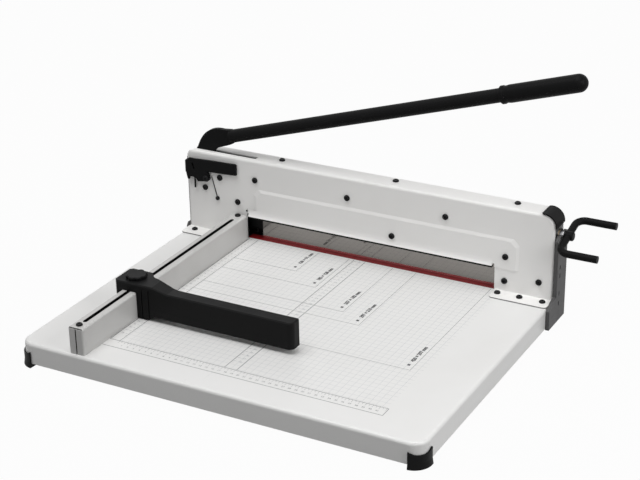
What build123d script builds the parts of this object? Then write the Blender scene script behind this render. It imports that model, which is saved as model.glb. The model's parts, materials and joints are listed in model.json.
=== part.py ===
from build123d import *
import math
import os

# Heavy stack paper cutter for A3 sheets. All sizes are in millimetres.
# Everything is drawn in the cutting frame: the cut line is y = 0, the side fence's
# working face is x = 0 and the table surface is z = 0, with +X along the blade,
# +Y away from the operator and +Z up. FRAME_SHIFT then moves every node so that
# the origin lies on the ground under the middle of the whole machine.

# ---- table
TABLE_WIDTH = 630.0
FRONT_REACH = 467.0
REAR_REACH = 17.0
FENCE_INSET = 112.0
RIM_HEIGHT = 32.0
TABLE_SHEET = 2.0
TABLE_CORNER = 22.0
TABLE_EDGE = 5.0
FOOT_DROP = 6.0
FOOT_WALL = 2.5
FOOT_FLARE = 1.4
FOOT_REACH = 26.0
FOOT_TOP = -13.0
FOOT_DIP = 8.0
SHOE_GAP = 0.15
REAR_FOOT_DIA = 22.0

# ---- cutting stick and the beam below it
STICK_WIDTH = 16.0
STICK_FRONT = -13.0
STICK_THICK = 8.0
STICK_START = -3.0
STICK_END = 440.0
STICK_CLEAR = 0.25
BEAM_FRONT = -40.0
BEAM_TOP = 10.0
BEAM_INSET = 5.5
BEAM_SHEET = 2.5

# ---- blade housing
HOUSING_DEPTH = 32.0
HOUSING_HEIGHT = 136.0
HOUSING_INSET = 0.5
SHEET = 2.0
TOP_BEND = 5.0
CORNER_LEFT = 12.0
CORNER_RIGHT = 18.0
MOUTH_LEFT = -1.0
MOUTH_RIGHT = 425.0
PAPER_HEIGHT = 40.0
LIP_ROLL = 3.4
LIP_RELIEF = 3.5
FLANGE_DEPTH = 28.0
FLANGE_CORNER = 6.0
FLANGE_SCREW_LINE = 12.0
PANEL_RISE = 1.6
PANEL_TOP = 88.0
PANEL_LEFT = 12.0
PANEL_RIGHT = 463.0
PANEL_BORDER = 5.0
LEVER_SLOT_END = 13.0
LEVER_SLOT_CLEAR = 0.6
END_PLATE = 4.0
PLATE_GAP = 0.2
END_TAB = 26.0
TIE_HEIGHT = 6.8
HEEL_SLOT_LOW = 58.0

# ---- blade and carriage
CUT_ANGLE = 60.0
BLADE_TRAVEL = 46.0
BLADE_LENGTH = 450.0
BLADE_HEIGHT = 47.5
BLADE_THICK = 7.4
BEVEL_HEIGHT = 16.0
BLADE_START = -4.0
BLADE_REACH = 0.3
BLADE_BOLTS = 8
BLADE_BOLT_PITCH = 54.0
BLADE_BOLT_DROP = 12.0
BLADE_SCREW = (10.0, 2.6, 5.0)
CARRIAGE_THICK = 5.8
CARRIAGE_LEFT = -38.0
CARRIAGE_RIGHT = 452.0
CARRIAGE_LOW = 22.0
CARRIAGE_HIGH = 93.0
ROLLER_DIA = 10.0
ROLLER_HEIGHT = 68.0
SLOT_CLEAR = 0.2

# ---- lever
PIVOT_X = -78.0
PIVOT_Z = 75.0
PIVOT_DIA = 12.0
PIVOT_FIT = 0.05
BUSH_WALL = 2.5
SPACER_DIA = 20.0
HUB_THICK = 7.0
HUB_BACK = -0.5
HUB_RADIUS = 28.0
LEVER_RISE = 16.7
LEVER_DOWN = 16.2
LEVER_UP = 45.0
TUBE_OFFSET = 73.5
TUBE_DIA = 21.0
TUBE_WALL = 2.5
TUBE_START = 74.0
TUBE_END = 652.0
STUB_LENGTH = 46.0
GRIP_START = 545.0
GRIP_END = 677.0
GRIP_DIA = 27.0
DRIVE_PIN_DIA = 10.0
CAM_WALL = 4.8
CAM_START = 6.0

# ---- paper clamp
CLAMP_LEFT = 20.0
CLAMP_RIGHT = 428.0
CLAMP_THICK = 3.2
CLAMP_GAP = 0.8
CLAMP_HEIGHT = 54.0
CLAMP_REST = 0.3
CLAMP_TRAVEL = 40.0
STIFFENER_THICK = 4.0
STIFFENER_LOW = 38.5
STIFFENER_INSET = 12.0
CLAMP_SCREWS = 8
CLAMP_SCREW_PITCH = 52.0
CLAMP_SCREW_START = 47.0
CLAMP_SCREW_HEIGHT = 41.5
CLAMP_SCREW_HEAD = (8.5, 2.0, 3.0)
PAD_DIA = 18.0
TAB_PLACES = (110.0, 250.0, 400.0)
TAB_WIDTH = 24.0
TAB_PIN_RISE = 8.0
TAB_PIN_DIA = 8.0
SLIDER_THICK = 3.0
SLIDER_GAP = 0.4
SLIDER_LEFT = 62.0
SLIDER_RIGHT = 480.0
SLIDER_DROP = 5.0
SLIDER_DEEP = 55.0
POST_DIA = 9.0
POST_FLANGE = 14.0
SPINDLE_DROP = 33.5
THREAD_DIA = 10.0
JOURNAL_DIA = 10.0
SPINDLE_FIT = 0.06
SPINDLE_START = 417.0
NUT_START = 460.0
NUT_LENGTH = 18.0
NUT_HEIGHT = 15.0
NUT_WALL = 1.8
COLLAR_DIA = 18.0
COLLAR_LENGTH = 5.0
HANDLE_PLANE = 531.0
HANDLE_ROD = 11.0
HANDLE_BEND = 14.0
HANDLE_ARM_Y = 40.0
HANDLE_ARM_Z = 10.0
HANDLE_END = 590.0
BOSS_DIA = 14.0
BOSS_BACK = 5.5
BOSS_FRONT = 8.5

# ---- side fence and sheet gauge
FENCE_WIDTH = 25.0
FENCE_HEIGHT = 41.0
FENCE_FRONT = -463.0
FENCE_REAR = -18.5
FENCE_WALL = 2.0
FENCE_BEND = 3.0
FENCE_FOOT = 5.0
FENCE_SEAM = 2.0
FENCE_SLOT = 6.6
FENCE_SLOT_ENDS = (-442.0, -42.0)
FENCE_SCREW_INSET = 10.5
FENCE_SCREW_REAR = 8.5
GAUGE_FRONT = -333.0
GAUGE_THICK = 20.0
GAUGE_HEIGHT = 54.5
GAUGE_LENGTH = 258.0
GAUGE_ARM_LOW = 8.0
GAUGE_ARM_TOP = 49.0
GAUGE_WALL = 3.0
GAUGE_LIFT = 1.0
GAUGE_END_RADIUS = 8.0
GAUGE_CLEAR = 0.4
BLOCK_DEPTH = 44.0
BLOCK_LEFT = 12.0
BLOCK_RIGHT = 14.0
BLOCK_DROP = 11.0
SHOULDER = ((62.0, 0.0), (27.0, 7.0), (11.0, 12.5), (1.0, 24.0))
SHOULDER_START = 27.0
SHOULDER_END = 53.0
BLOCK_GROOVES = (9.0, 20.5)
KNOB_DIA = 32.0
KNOB_HEIGHT = 4.4
KNOB_LOBES = 8
KNOB_LIFT = 1.1
STUD_DIA = 6.0
STUD_FIT = 0.08
TEE_NUT_LENGTH = 28.0
TEE_NUT_HEIGHT = 8.0
TEE_NUT_CLEAR = 0.3

# ---- safety latch
LATCH_INSET = 39.0
LATCH_DROP = 43.0
LATCH_THICK = 4.0
LATCH_STAND = 1.4
LATCH_PIVOT_DIA = 6.0
LATCH_FIT = 0.06
LATCH_LEG_END = -9.0
LATCH_LEG = 2.6
LATCH_BEND = 7.0
LATCH_BACK = ((-26.0, 29.3), (12.0, 31.0), (54.5, 32.0), (56.3, 30.3), (56.3, 13.8), (23.0, 12.0),
              (0.5, 11.5))
LATCH_HEEL = ((5.8, 3.0), (2.5, -5.6))
LATCH_BELLY = ((-8.0, -6.8), (-15.5, -8.0), (-20.0, -1.8), (-30.5, -1.4), (-32.5, -7.0),
               (-35.0, -6.5), (-38.0, 4.0), (-41.9, 4.5), (-41.9, 19.0))
LATCH_SHOULDER = (-36.5, 26.8)
LATCH_SLIT = (-23.8, 17.2)
LATCH_PIN_DIA = 3.0
LATCH_PIN_X = -22.3
LATCH_PIN_TOP = 4.0
LATCH_PIN_LENGTH = 24.0
SPRING_WIRE = 1.1
ANCHOR_OFFSET = (17.5, -33.0)

# ---- end cover, boots and corner strap
COVER_STAND = 6.0
COVER_GAP = 0.3
COVER_WALL = 2.2
COVER_DROP = 32.0
COVER_LOW = -33.0
COVER_TOE = -45.0
COVER_CORNER = 7.0
COVER_SLOTS = (53.5, 40.5, 11.5, -4.5)
COVER_SLOT_LINE = -8.0
LEFT_BOOT_TOP = 8.0
LEFT_BOOT_TOE = -22.0
STRAP_THICK = 1.8
STRAP_DROP = 19.5
STRAP_OVERHANG = 1.0
STRAP_TONGUE = 4.0

# ---- screws: head diameter, head height, shank diameter
BUTTON = (9.5, 3.0, 5.0)
SMALL_BUTTON = (6.0, 2.0, 3.0)
HOLE_CLEAR = 0.2
SCREW_LENGTH = 6.2
NUT_THICK = 3.6
UPPER_BOLT_DROP = 33.0
POST_BOLT_PLACES = (179.0, 344.0)
GUIDE_BOLT_DROP = 40.0
PAD_BOLT = (256.0, 55.0)
SIGHT_HOLE = (-2.0, 47.5, 3.6)
TOP_BOLTS = (54.0, 252.0, 450.0)
TOP_BOLT_LINE = 4.4
FLANGE_RIGHT = (435.0, 470.0, 506.0)
FLANGE_LEFT = (-95.0, -45.0)
REAR_FEET = (-92.0, -48.0, 460.0, 494.0)
REAR_FOOT_LINE = 4.0
TIE_SCREWS = (110.0, 300.0, 440.0)
END_TAB_HEIGHT = 27.0

# ---- worked-out places
TABLE_LEFT = -FENCE_INSET
TABLE_RIGHT = TABLE_LEFT + TABLE_WIDTH
HOUSING_LEFT = TABLE_LEFT
HOUSING_RIGHT = TABLE_RIGHT - HOUSING_INSET
LATCH_X = HOUSING_LEFT + LATCH_INSET
LATCH_Z = HOUSING_HEIGHT - LATCH_DROP
ANCHOR_X = LATCH_X + ANCHOR_OFFSET[0]
ANCHOR_Z = LATCH_Z + ANCHOR_OFFSET[1]
GROUND = -RIM_HEIGHT - FOOT_DROP
FOOT_OUT = FOOT_WALL + FOOT_FLARE
FRAME_SHIFT = Pos((FENCE_INSET + FOOT_OUT - HANDLE_END) / 2,
                  (FRONT_REACH + FOOT_OUT - HANDLE_ARM_Y - HANDLE_ROD / 2) / 2,
                  RIM_HEIGHT + FOOT_DROP)
FACE_OUT = -HOUSING_DEPTH / 2
FACE_IN = FACE_OUT + SHEET
PANEL_OUT = FACE_OUT - PANEL_RISE
BACK_OUT = HOUSING_DEPTH / 2
BACK_IN = BACK_OUT - SHEET
TOP_IN = HOUSING_HEIGHT - SHEET
CLAMP_BACK = -CLAMP_GAP
CLAMP_FACE = CLAMP_BACK - CLAMP_THICK
STIFFENER_FACE = CLAMP_FACE - STIFFENER_THICK
SLIDER_FRONT = FACE_IN + SLIDER_GAP
SLIDER_BACK = SLIDER_FRONT + SLIDER_THICK
HUB_FRONT = HUB_BACK - HUB_THICK
SPINDLE_HEIGHT = HOUSING_HEIGHT - SPINDLE_DROP
SLIDER_HIGH = HOUSING_HEIGHT - SLIDER_DROP
SLIDER_LOW = SLIDER_HIGH - SLIDER_DEEP
TAB_PIN_HEIGHT = SLIDER_LOW + TAB_PIN_RISE
COVER_TOP = HOUSING_HEIGHT - COVER_DROP
UPPER_BOLT = HOUSING_HEIGHT - UPPER_BOLT_DROP
BLOCK_BOLTS = ((15.0, UPPER_BOLT), (442.0, 58.0), (441.0, 18.0), (495.0, 27.0),
               (-18.0, 60.0), (-50.0, HOUSING_HEIGHT - GUIDE_BOLT_DROP))
POST_BOLTS = tuple((x, UPPER_BOLT) for x in POST_BOLT_PLACES)
LEVER_MID = HUB_BACK - HUB_THICK / 2
CARRIAGE_BACK = BLADE_THICK + CARRIAGE_THICK
STICK_BACK = STICK_FRONT + STICK_WIDTH
FENCE_MID = -FENCE_WIDTH / 2
GAUGE_BACK = GAUGE_FRONT + GAUGE_THICK
BLOCK_MID = GAUGE_FRONT + BLOCK_DEPTH / 2
BLOCK_SILL = FENCE_HEIGHT - BLOCK_DROP
COVER_OUT = TABLE_RIGHT + COVER_STAND
COVER_IN = COVER_OUT - COVER_WALL
COVER_HALF = BACK_OUT + COVER_WALL

# The carriage slides along a slope. The hub's slot is an involute of the circle
# DRIVE_RADIUS round the pivot, so lever angle and carriage travel stay in
# proportion and the pin is always pushed along its own path.
SLOPE = math.radians(CUT_ANGLE)
RISE = (math.cos(SLOPE), math.sin(SLOPE))
LEVER_SWEEP = math.radians(LEVER_DOWN + LEVER_UP)
DRIVE_RADIUS = BLADE_TRAVEL / RISE[1] / LEVER_SWEEP
DROP = DRIVE_RADIUS * math.radians(LEVER_DOWN)
LIFT = DRIVE_RADIUS * math.radians(LEVER_UP)
BLADE_EDGE = BLADE_REACH + DROP * RISE[1]
BLADE_TOP = BLADE_EDGE + BLADE_HEIGHT
PIN_ARM = (DRIVE_RADIUS * RISE[1] + (CAM_START + DROP) * RISE[0],
           -DRIVE_RADIUS * RISE[0] + (CAM_START + DROP) * RISE[1])
PIN_X = PIVOT_X + PIN_ARM[0]
PIN_Z = PIVOT_Z + PIN_ARM[1]
BLADE_BOLT_START = BLADE_START + (BLADE_LENGTH - (BLADE_BOLTS - 1) * BLADE_BOLT_PITCH) / 2
BLADE_BOLT_PLACES = [BLADE_BOLT_START + step * BLADE_BOLT_PITCH for step in range(BLADE_BOLTS)]
SLOT_SHIFT = (LIFT - DROP) / 2
ROLLER_PLACES = [(BLADE_BOLT_PLACES[step] + BLADE_BOLT_PLACES[step + 1]) / 2 + SLOT_SHIFT * RISE[0]
                 for step in (0, 3, 6)]
CLAMP_SCREW_PLACES = [CLAMP_SCREW_START + step * CLAMP_SCREW_PITCH for step in range(CLAMP_SCREWS)]
TUBE_ANGLE = math.radians(LEVER_RISE)


# ---- drawing helpers
def block(x0, x1, y0, y1, z0, z1):
    return Pos(x0, y0, z0) * Box(x1 - x0, y1 - y0, z1 - z0, align=(Align.MIN,) * 3)


def front_plane(y):
    return Plane(origin=(0, y, 0), x_dir=(1, 0, 0), z_dir=(0, -1, 0))


def upright(sketch, y0, y1):
    return extrude(front_plane(y1) * sketch, amount=y1 - y0)


def sideways(sketch, x0, x1):
    plane = Plane(origin=(x0, 0, 0), x_dir=(0, 1, 0), z_dir=(1, 0, 0))
    return extrude(plane * sketch, amount=x1 - x0)


def flat(sketch, z0, z1):
    return extrude(Plane.XY.offset(z0) * sketch, amount=z1 - z0)


def rod_x(dia, x0, x1, y, z):
    return sideways(Pos(y, z) * Circle(dia / 2), x0, x1)


def rod_y(dia, y0, y1, x, z):
    return upright(Pos(x, z) * Circle(dia / 2), y0, y1)


def rod_z(dia, z0, z1, x, y):
    return flat(Pos(x, y) * Circle(dia / 2), z0, z1)


def outline(*points):
    return make_face(Polyline(*points, close=True))


def rounded(x0, x1, y0, y1, radius):
    return Pos((x0 + x1) / 2, (y0 + y1) / 2) * RectangleRounded(x1 - x0, y1 - y0, radius)


def group(pieces):
    return Compound(children=[solid for piece in pieces for solid in piece.solids()])


def head_up(sizes, length):
    """Button-head screw standing on z = 0, shank down."""
    head_dia, head_height, shank_dia = sizes
    head = Cylinder(head_dia / 2, head_height, align=(Align.CENTER, Align.CENTER, Align.MIN))
    head = chamfer(head.edges().sort_by(Axis.Z)[-1], head_height * 0.4)
    socket = extrude(Plane.XY.offset(head_height) * RegularPolygon(shank_dia * 0.36, 6),
                     amount=-head_height * 0.6)
    shank = Cylinder(shank_dia / 2, length, align=(Align.CENTER, Align.CENTER, Align.MAX))
    return head - socket + shank


def front_screw(x, y, z, sizes, length):
    return Pos(x, y, z) * Rot(90, 0, 0) * head_up(sizes, length)


def rear_screw(x, y, z, sizes, length):
    return Pos(x, y, z) * Rot(-90, 0, 0) * head_up(sizes, length)


def hex_nut(x, y, z):
    nut = flat(RegularPolygon(BUTTON[2] * 0.92, 6), 0, NUT_THICK)
    nut -= rod_z(BUTTON[2] + HOLE_CLEAR, -1, NUT_THICK + 1, 0, 0)
    return Pos(x, y, z) * nut


def front_hole(x, z, dia, y0=PANEL_OUT - 1, y1=FACE_IN + 1):
    return rod_y(dia, y0, y1, x, z)


def screw_hole():
    return BUTTON[2] + HOLE_CLEAR


# ---- table
def table_outline(grow=0.0):
    return rounded(TABLE_LEFT - grow, TABLE_RIGHT + grow, -FRONT_REACH - grow,
                   REAR_REACH + grow, TABLE_CORNER + grow)


def fence_screw_places():
    return [(FENCE_MID, FENCE_FRONT + FENCE_SCREW_INSET), (FENCE_MID, FENCE_REAR - FENCE_SCREW_REAR)]


def flange_screw_places():
    return [(x, FACE_OUT - FLANGE_SCREW_LINE) for x in FLANGE_RIGHT + FLANGE_LEFT]


def rear_foot_places():
    return [(x, REAR_FOOT_LINE) for x in REAR_FEET]


def table_hole_places():
    return fence_screw_places() + flange_screw_places() + rear_foot_places()


def stick_room(z0, z1):
    return block(STICK_START - STICK_CLEAR, STICK_END + STICK_CLEAR,
                 STICK_FRONT - STICK_CLEAR, STICK_BACK + STICK_CLEAR, z0, z1)


def base_tray():
    tray = flat(table_outline(), -RIM_HEIGHT, 0)
    tray = fillet(tray.faces().sort_by(Axis.Z)[-1].edges(), TABLE_EDGE)
    hollow = flat(table_outline(-TABLE_SHEET), -RIM_HEIGHT - 1, -TABLE_SHEET)
    hollow = fillet(hollow.faces().sort_by(Axis.Z)[-1].edges(), TABLE_EDGE - TABLE_SHEET)
    tray = tray - hollow - stick_room(-TABLE_SHEET - 1, 1)
    for x, y in table_hole_places():
        tray -= rod_z(screw_hole(), -TABLE_SHEET - 2, 2, x, y)
    return tray


def beam_back():
    return REAR_REACH - BEAM_INSET


def cutting_beam():
    """Folded channel under the table; its thick top backs the cutting stick."""
    low = -RIM_HEIGHT + 2.0
    back = beam_back()
    left = TABLE_LEFT + BEAM_INSET
    right = TABLE_RIGHT - BEAM_INSET
    plan = rounded(left, right, BEAM_FRONT, back, TABLE_CORNER - BEAM_INSET)
    body = flat(plan, low, -TABLE_SHEET)
    inside = block(left - 1, right + 1, BEAM_FRONT + BEAM_SHEET, back - BEAM_SHEET,
                   low - 1, -TABLE_SHEET - BEAM_TOP)
    body = body - inside - stick_room(-STICK_THICK, 1)
    for x, y in table_hole_places()[1:]:
        body -= rod_z(screw_hole(), low, 0, x, y)
    return body


def cutting_stick():
    stick = block(STICK_START, STICK_END, STICK_FRONT, STICK_BACK, -STICK_THICK, 0)
    return chamfer(stick.edges().filter_by(Axis.X), 0.4)


def stiffening_ribs():
    """Hat-section ribs welded under the table."""
    depth = 12.0
    left = TABLE_LEFT + 2 * TABLE_CORNER
    right = TABLE_RIGHT - 2 * TABLE_CORNER
    ribs = []
    for share in (0.35, 0.68):
        y = -FRONT_REACH * share
        rib = block(left, right, y - 14, y + 14, -TABLE_SHEET - depth, -TABLE_SHEET)
        room = block(left - 1, right + 1, y - 12, y + 12, -depth, 0)
        wings = block(left, right, y - 24, y + 24, -2 * TABLE_SHEET, -TABLE_SHEET)
        ribs.append(rib + wings - room)
    return group(ribs)


def corner_foot(right):
    """Moulded shoe round a front corner of the rim, with a dipped upper edge."""
    shoe = flat(table_outline(FOOT_WALL), GROUND, FOOT_TOP)
    skirt = loft([Plane.XY.offset(GROUND) * table_outline(FOOT_WALL + FOOT_FLARE),
                  Plane.XY.offset(GROUND + 9.0) * table_outline(FOOT_WALL)])
    shoe = shoe + skirt - flat(table_outline(SHOE_GAP), -RIM_HEIGHT, FOOT_TOP + 1)
    reach = FOOT_REACH
    x_edge = TABLE_RIGHT if right else TABLE_LEFT
    side = 1 if right else -1
    x0, x1 = sorted((x_edge - side * reach, x_edge + side * 10))
    shoe = shoe & block(x0, x1, -FRONT_REACH - 10, -FRONT_REACH + reach, GROUND - 1, 0)
    dip = Pos(x_edge, -FRONT_REACH, FOOT_TOP) * Rot(0, 0, 45 * side)
    scoop = dip * scale(Rot(90, 0, 0) * Cylinder(10.0, 80), by=(1.7, 1.0, FOOT_DIP / 10.0))
    return shoe - scoop


def rear_foot(x):
    """Rubber bumper on a stem clipped into the rear corner of the rim."""
    y = REAR_REACH - REAR_FOOT_DIA / 2
    pad = rod_z(REAR_FOOT_DIA, GROUND, -RIM_HEIGHT, x, y)
    pad = chamfer(pad.edges().sort_by(Axis.Z)[0], 1.5)
    lug = block(x - 6, x + 6, beam_back() + 0.2, REAR_REACH - TABLE_SHEET - 0.1,
                -RIM_HEIGHT, -RIM_HEIGHT + 8)
    return pad + lug


# ---- housing
def housing_outline(height):
    left, right = HOUSING_LEFT, HOUSING_RIGHT
    small, wide = CORNER_LEFT, CORNER_RIGHT
    turn = math.sqrt(0.5)
    return make_face([
        Line((left, 0), (left, height - small)),
        ThreePointArc((left, height - small),
                      (left + small * (1 - turn), height - small * (1 - turn)),
                      (left + small, height)),
        Line((left + small, height), (right - wide, height)),
        ThreePointArc((right - wide, height),
                      (right - wide * (1 - turn), height - wide * (1 - turn)),
                      (right, height - wide)),
        Line((right, height - wide), (right, 0)),
        Line((right, 0), (left, 0)),
    ])


def panel_outline(margin):
    left, right, top = PANEL_LEFT + margin, PANEL_RIGHT - margin, PANEL_TOP - margin
    low = PAPER_HEIGHT - 2.0
    cut = 9.0
    return outline((left, low), (right, low), (right, top - cut), (right - cut, top),
                   (left + cut, top), (left, top - cut))


def pressed_panel(shift, margin):
    """Field pressed forward above the mouth, with sloping borders."""
    root = front_plane(FACE_OUT + shift) * panel_outline(margin)
    face = front_plane(PANEL_OUT + shift) * panel_outline(margin + PANEL_BORDER)
    return loft([root, face])


def table_flange(x0, x1):
    sheet = flat(rounded(x0, x1, FACE_OUT - FLANGE_DEPTH, FACE_IN, FLANGE_CORNER), 0, SHEET)
    return sheet + block(x0, x1, FACE_OUT - FLANGE_CORNER, FACE_IN, 0, SHEET)


def mouth_lip():
    """Lower edge of the face, rolled inwards over the mouth."""
    y_front = PANEL_OUT
    y_mid = y_front + LIP_ROLL
    z_mid = PAPER_HEIGHT + LIP_ROLL
    ring = Pos(y_mid, z_mid) * (Circle(LIP_ROLL) - Circle(LIP_ROLL - SHEET))
    lower = Pos(y_mid, z_mid - LIP_ROLL) * Rectangle(2 * LIP_ROLL, 2 * LIP_ROLL)
    return sideways(ring & lower, MOUTH_LEFT + LIP_RELIEF, MOUTH_RIGHT - LIP_RELIEF)


def front_shell():
    shell = upright(housing_outline(HOUSING_HEIGHT), FACE_OUT, BACK_OUT)
    edge = shell.edges().filter_by(Axis.X).group_by(Axis.Z)[-1].sort_by(Axis.Y)[0]
    shell = fillet(edge, TOP_BEND)
    room = block(HOUSING_LEFT - 1, HOUSING_RIGHT + 1, FACE_IN, BACK_OUT + 1, -1, TOP_IN)
    edge = room.edges().filter_by(Axis.X).group_by(Axis.Z)[-1].sort_by(Axis.Y)[0]
    shell -= fillet(edge, TOP_BEND - SHEET)
    shell -= block(HOUSING_RIGHT - CORNER_RIGHT, HOUSING_RIGHT + 1, FACE_IN, BACK_OUT + 1,
                   0, HOUSING_HEIGHT + 1)
    shell -= block(HOUSING_LEFT - 1, HOUSING_LEFT + CORNER_LEFT, FACE_IN, BACK_OUT + 1,
                   0, HOUSING_HEIGHT + 1)
    return shell


def front_plate():
    """One bent sheet: face, top with the lever slot, table flanges and rolled lip."""
    plate = front_shell()
    plate += pressed_panel(0.0, 0.0)
    plate -= pressed_panel(SHEET, 1.0)
    mouth = block(MOUTH_LEFT, MOUTH_RIGHT, PANEL_OUT - 1, FACE_IN + 1, -1, PAPER_HEIGHT)
    roll_room = block(MOUTH_LEFT, MOUTH_RIGHT, PANEL_OUT - 1, FACE_IN + 1,
                      PAPER_HEIGHT - 1, PAPER_HEIGHT + LIP_ROLL)
    plate = plate - mouth - roll_room + mouth_lip()
    plate += table_flange(MOUTH_RIGHT + 2.0, HOUSING_RIGHT)
    plate += table_flange(HOUSING_LEFT, -FENCE_WIDTH - 1.0)
    slot = HUB_THICK / 2 + LEVER_SLOT_CLEAR
    plate -= block(HOUSING_LEFT - 1, LEVER_SLOT_END, LEVER_MID - slot, LEVER_MID + slot,
                   TOP_IN - 1, HOUSING_HEIGHT + 1)
    for x, z in BLOCK_BOLTS + POST_BOLTS + (PAD_BOLT, (PIVOT_X, PIVOT_Z)):
        plate -= front_hole(x, z, screw_hole())
    plate -= front_hole(LATCH_X, LATCH_Z, screw_hole())
    plate -= front_hole(ANCHOR_X, ANCHOR_Z, SMALL_BUTTON[2] + HOLE_CLEAR)
    plate -= front_hole(*SIGHT_HOLE)
    for x in TOP_BOLTS:
        plate -= rod_z(screw_hole(), TOP_IN - 1, HOUSING_HEIGHT + 1, x, TOP_BOLT_LINE)
    for x, y in flange_screw_places():
        plate -= rod_z(screw_hole(), -1, SHEET + 1, x, y)
    return plate


def rear_plate():
    """Back sheet with the outlet for cut strips and two feet turned inwards."""
    plate = upright(housing_outline(TOP_IN), BACK_IN, BACK_OUT)
    plate -= block(MOUTH_LEFT, MOUTH_RIGHT, BACK_IN - 1, BACK_OUT + 1, -1, PAPER_HEIGHT + 4)
    foot_line = REAR_FOOT_LINE - 8.0
    foot_gap = END_PLATE + 1.0
    plate += block(HOUSING_LEFT + foot_gap, MOUTH_LEFT - 20, foot_line, BACK_OUT, 0, SHEET)
    plate += block(MOUTH_RIGHT + 20, HOUSING_RIGHT - foot_gap, foot_line, BACK_OUT, 0, SHEET)
    for x, y in rear_foot_places():
        plate -= rod_z(screw_hole(), -1, SHEET + 1, x, y)
    for x in ROLLER_PLACES:
        plate -= rod_y(screw_hole(), BACK_IN - 1, BACK_OUT + 1, x, ROLLER_HEIGHT)
    for x, z in rear_screw_places():
        plate -= rod_y(SMALL_BUTTON[2] + HOLE_CLEAR, BACK_IN - 1, BACK_OUT + 1, x, z)
    plate -= rod_y(screw_hole(), BACK_IN - 1, BACK_OUT + 1, PIVOT_X, PIVOT_Z)
    return plate


def tie_height():
    return TOP_IN - TIE_HEIGHT / 2


def rear_screw_places():
    tabs = [(HOUSING_LEFT + END_TAB / 2 + END_PLATE, END_TAB_HEIGHT),
            (HOUSING_RIGHT - END_TAB / 2 - END_PLATE, END_TAB_HEIGHT)]
    return [(x, tie_height()) for x in TIE_SCREWS] + tabs


def end_plate(side):
    """Upright closing one end, with tabs for the face and back screws."""
    outer = HOUSING_RIGHT if side > 0 else HOUSING_LEFT
    inner = outer - side * END_PLATE
    x0, x1 = sorted((outer, inner))
    height = TOP_IN - CORNER_LEFT
    plate = block(x0, x1, FACE_IN, BACK_IN, 0, height)
    plate = plate & upright(housing_outline(HOUSING_HEIGHT - PLATE_GAP), FACE_IN, BACK_IN)
    t0, t1 = sorted((outer, inner - side * END_TAB))
    low, high = END_TAB_HEIGHT - 12, END_TAB_HEIGHT + 12
    plate += block(t0, t1, BACK_IN - 4, BACK_IN, low, high)
    x_tab, z_tab = rear_screw_places()[-1 if side > 0 else -2]
    plate -= rod_y(SMALL_BUTTON[2] + HOLE_CLEAR, BACK_IN - 5, BACK_IN + 1, x_tab, z_tab)
    if side > 0:
        plate += block(t0, t1, FACE_IN, FACE_IN + 4, low, high)
        plate -= rod_y(screw_hole(), FACE_IN - 1, FACE_IN + 5, *BLOCK_BOLTS[3])
        plate -= rod_x(bush_outer(), x0 - 1, x1 + 1, 0, SPINDLE_HEIGHT)
        return plate
    slot = HUB_THICK / 2 + LEVER_SLOT_CLEAR
    return plate - block(x0 - 1, x1 + 1, LEVER_MID - slot, LEVER_MID + slot,
                         HEEL_SLOT_LOW, height + 1)


def top_tie_bar():
    """Bar under the top sheet that the top and back screws pull together."""
    bar = block(HOUSING_LEFT + CORNER_LEFT, HOUSING_RIGHT - CORNER_RIGHT, 0.3, BACK_IN,
                TOP_IN - TIE_HEIGHT, TOP_IN)
    for x in TOP_BOLTS:
        bar -= rod_z(screw_hole(), TOP_IN - TIE_HEIGHT - 1, TOP_IN + 1, x, TOP_BOLT_LINE)
    for x in TIE_SCREWS:
        bar -= rod_y(SMALL_BUTTON[2] + HOLE_CLEAR, BACK_IN - 7, BACK_IN + 1, x, tie_height())
    return bar


def boot_profile():
    return outline((COVER_TOE, COVER_LOW), (COVER_HALF, COVER_LOW), (COVER_HALF, COVER_TOP),
                   (COVER_CORNER - COVER_HALF, COVER_TOP), (-COVER_HALF, COVER_TOP - COVER_CORNER),
                   (-COVER_HALF, 9), (-COVER_HALF - 12, 6), (COVER_TOE, -3))


def shaft_room():
    return rod_x(JOURNAL_DIA + 1.2, HOUSING_RIGHT - 1, COVER_OUT + 5, 0, SPINDLE_HEIGHT)


def end_cover():
    """Slim channel over the right end, running down into a boot beside the rim."""
    inner = TABLE_RIGHT + COVER_GAP
    cover = sideways(boot_profile(), inner, COVER_OUT)
    cover -= block(inner - 1, COVER_IN, -BACK_OUT, BACK_OUT, COVER_LOW + COVER_WALL,
                   COVER_TOP - COVER_CORNER - COVER_WALL)
    cover += block(HOUSING_RIGHT, COVER_OUT - 0.1, -10, 10, 24, 32)
    cover -= shaft_room()
    for z in COVER_SLOTS:
        slot = Pos(COVER_SLOT_LINE, z) * Rot(0, 0, 90) * SlotOverall(7.5, 3.2)
        depth = COVER_WALL + 1
        cover -= sideways(slot, COVER_OUT - depth, COVER_OUT + 1)
    return cover


def left_boot():
    inner = TABLE_LEFT - COVER_GAP
    low, top = COVER_LOW, LEFT_BOOT_TOP
    profile = outline((LEFT_BOOT_TOE, low), (COVER_HALF, low), (COVER_HALF, top),
                      (-COVER_HALF, top), (LEFT_BOOT_TOE, top - 6))
    boot = sideways(profile, inner - COVER_WALL, inner)
    return boot + block(inner - 0.01, HOUSING_LEFT, -10, 10, 2, top - 1)


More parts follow.
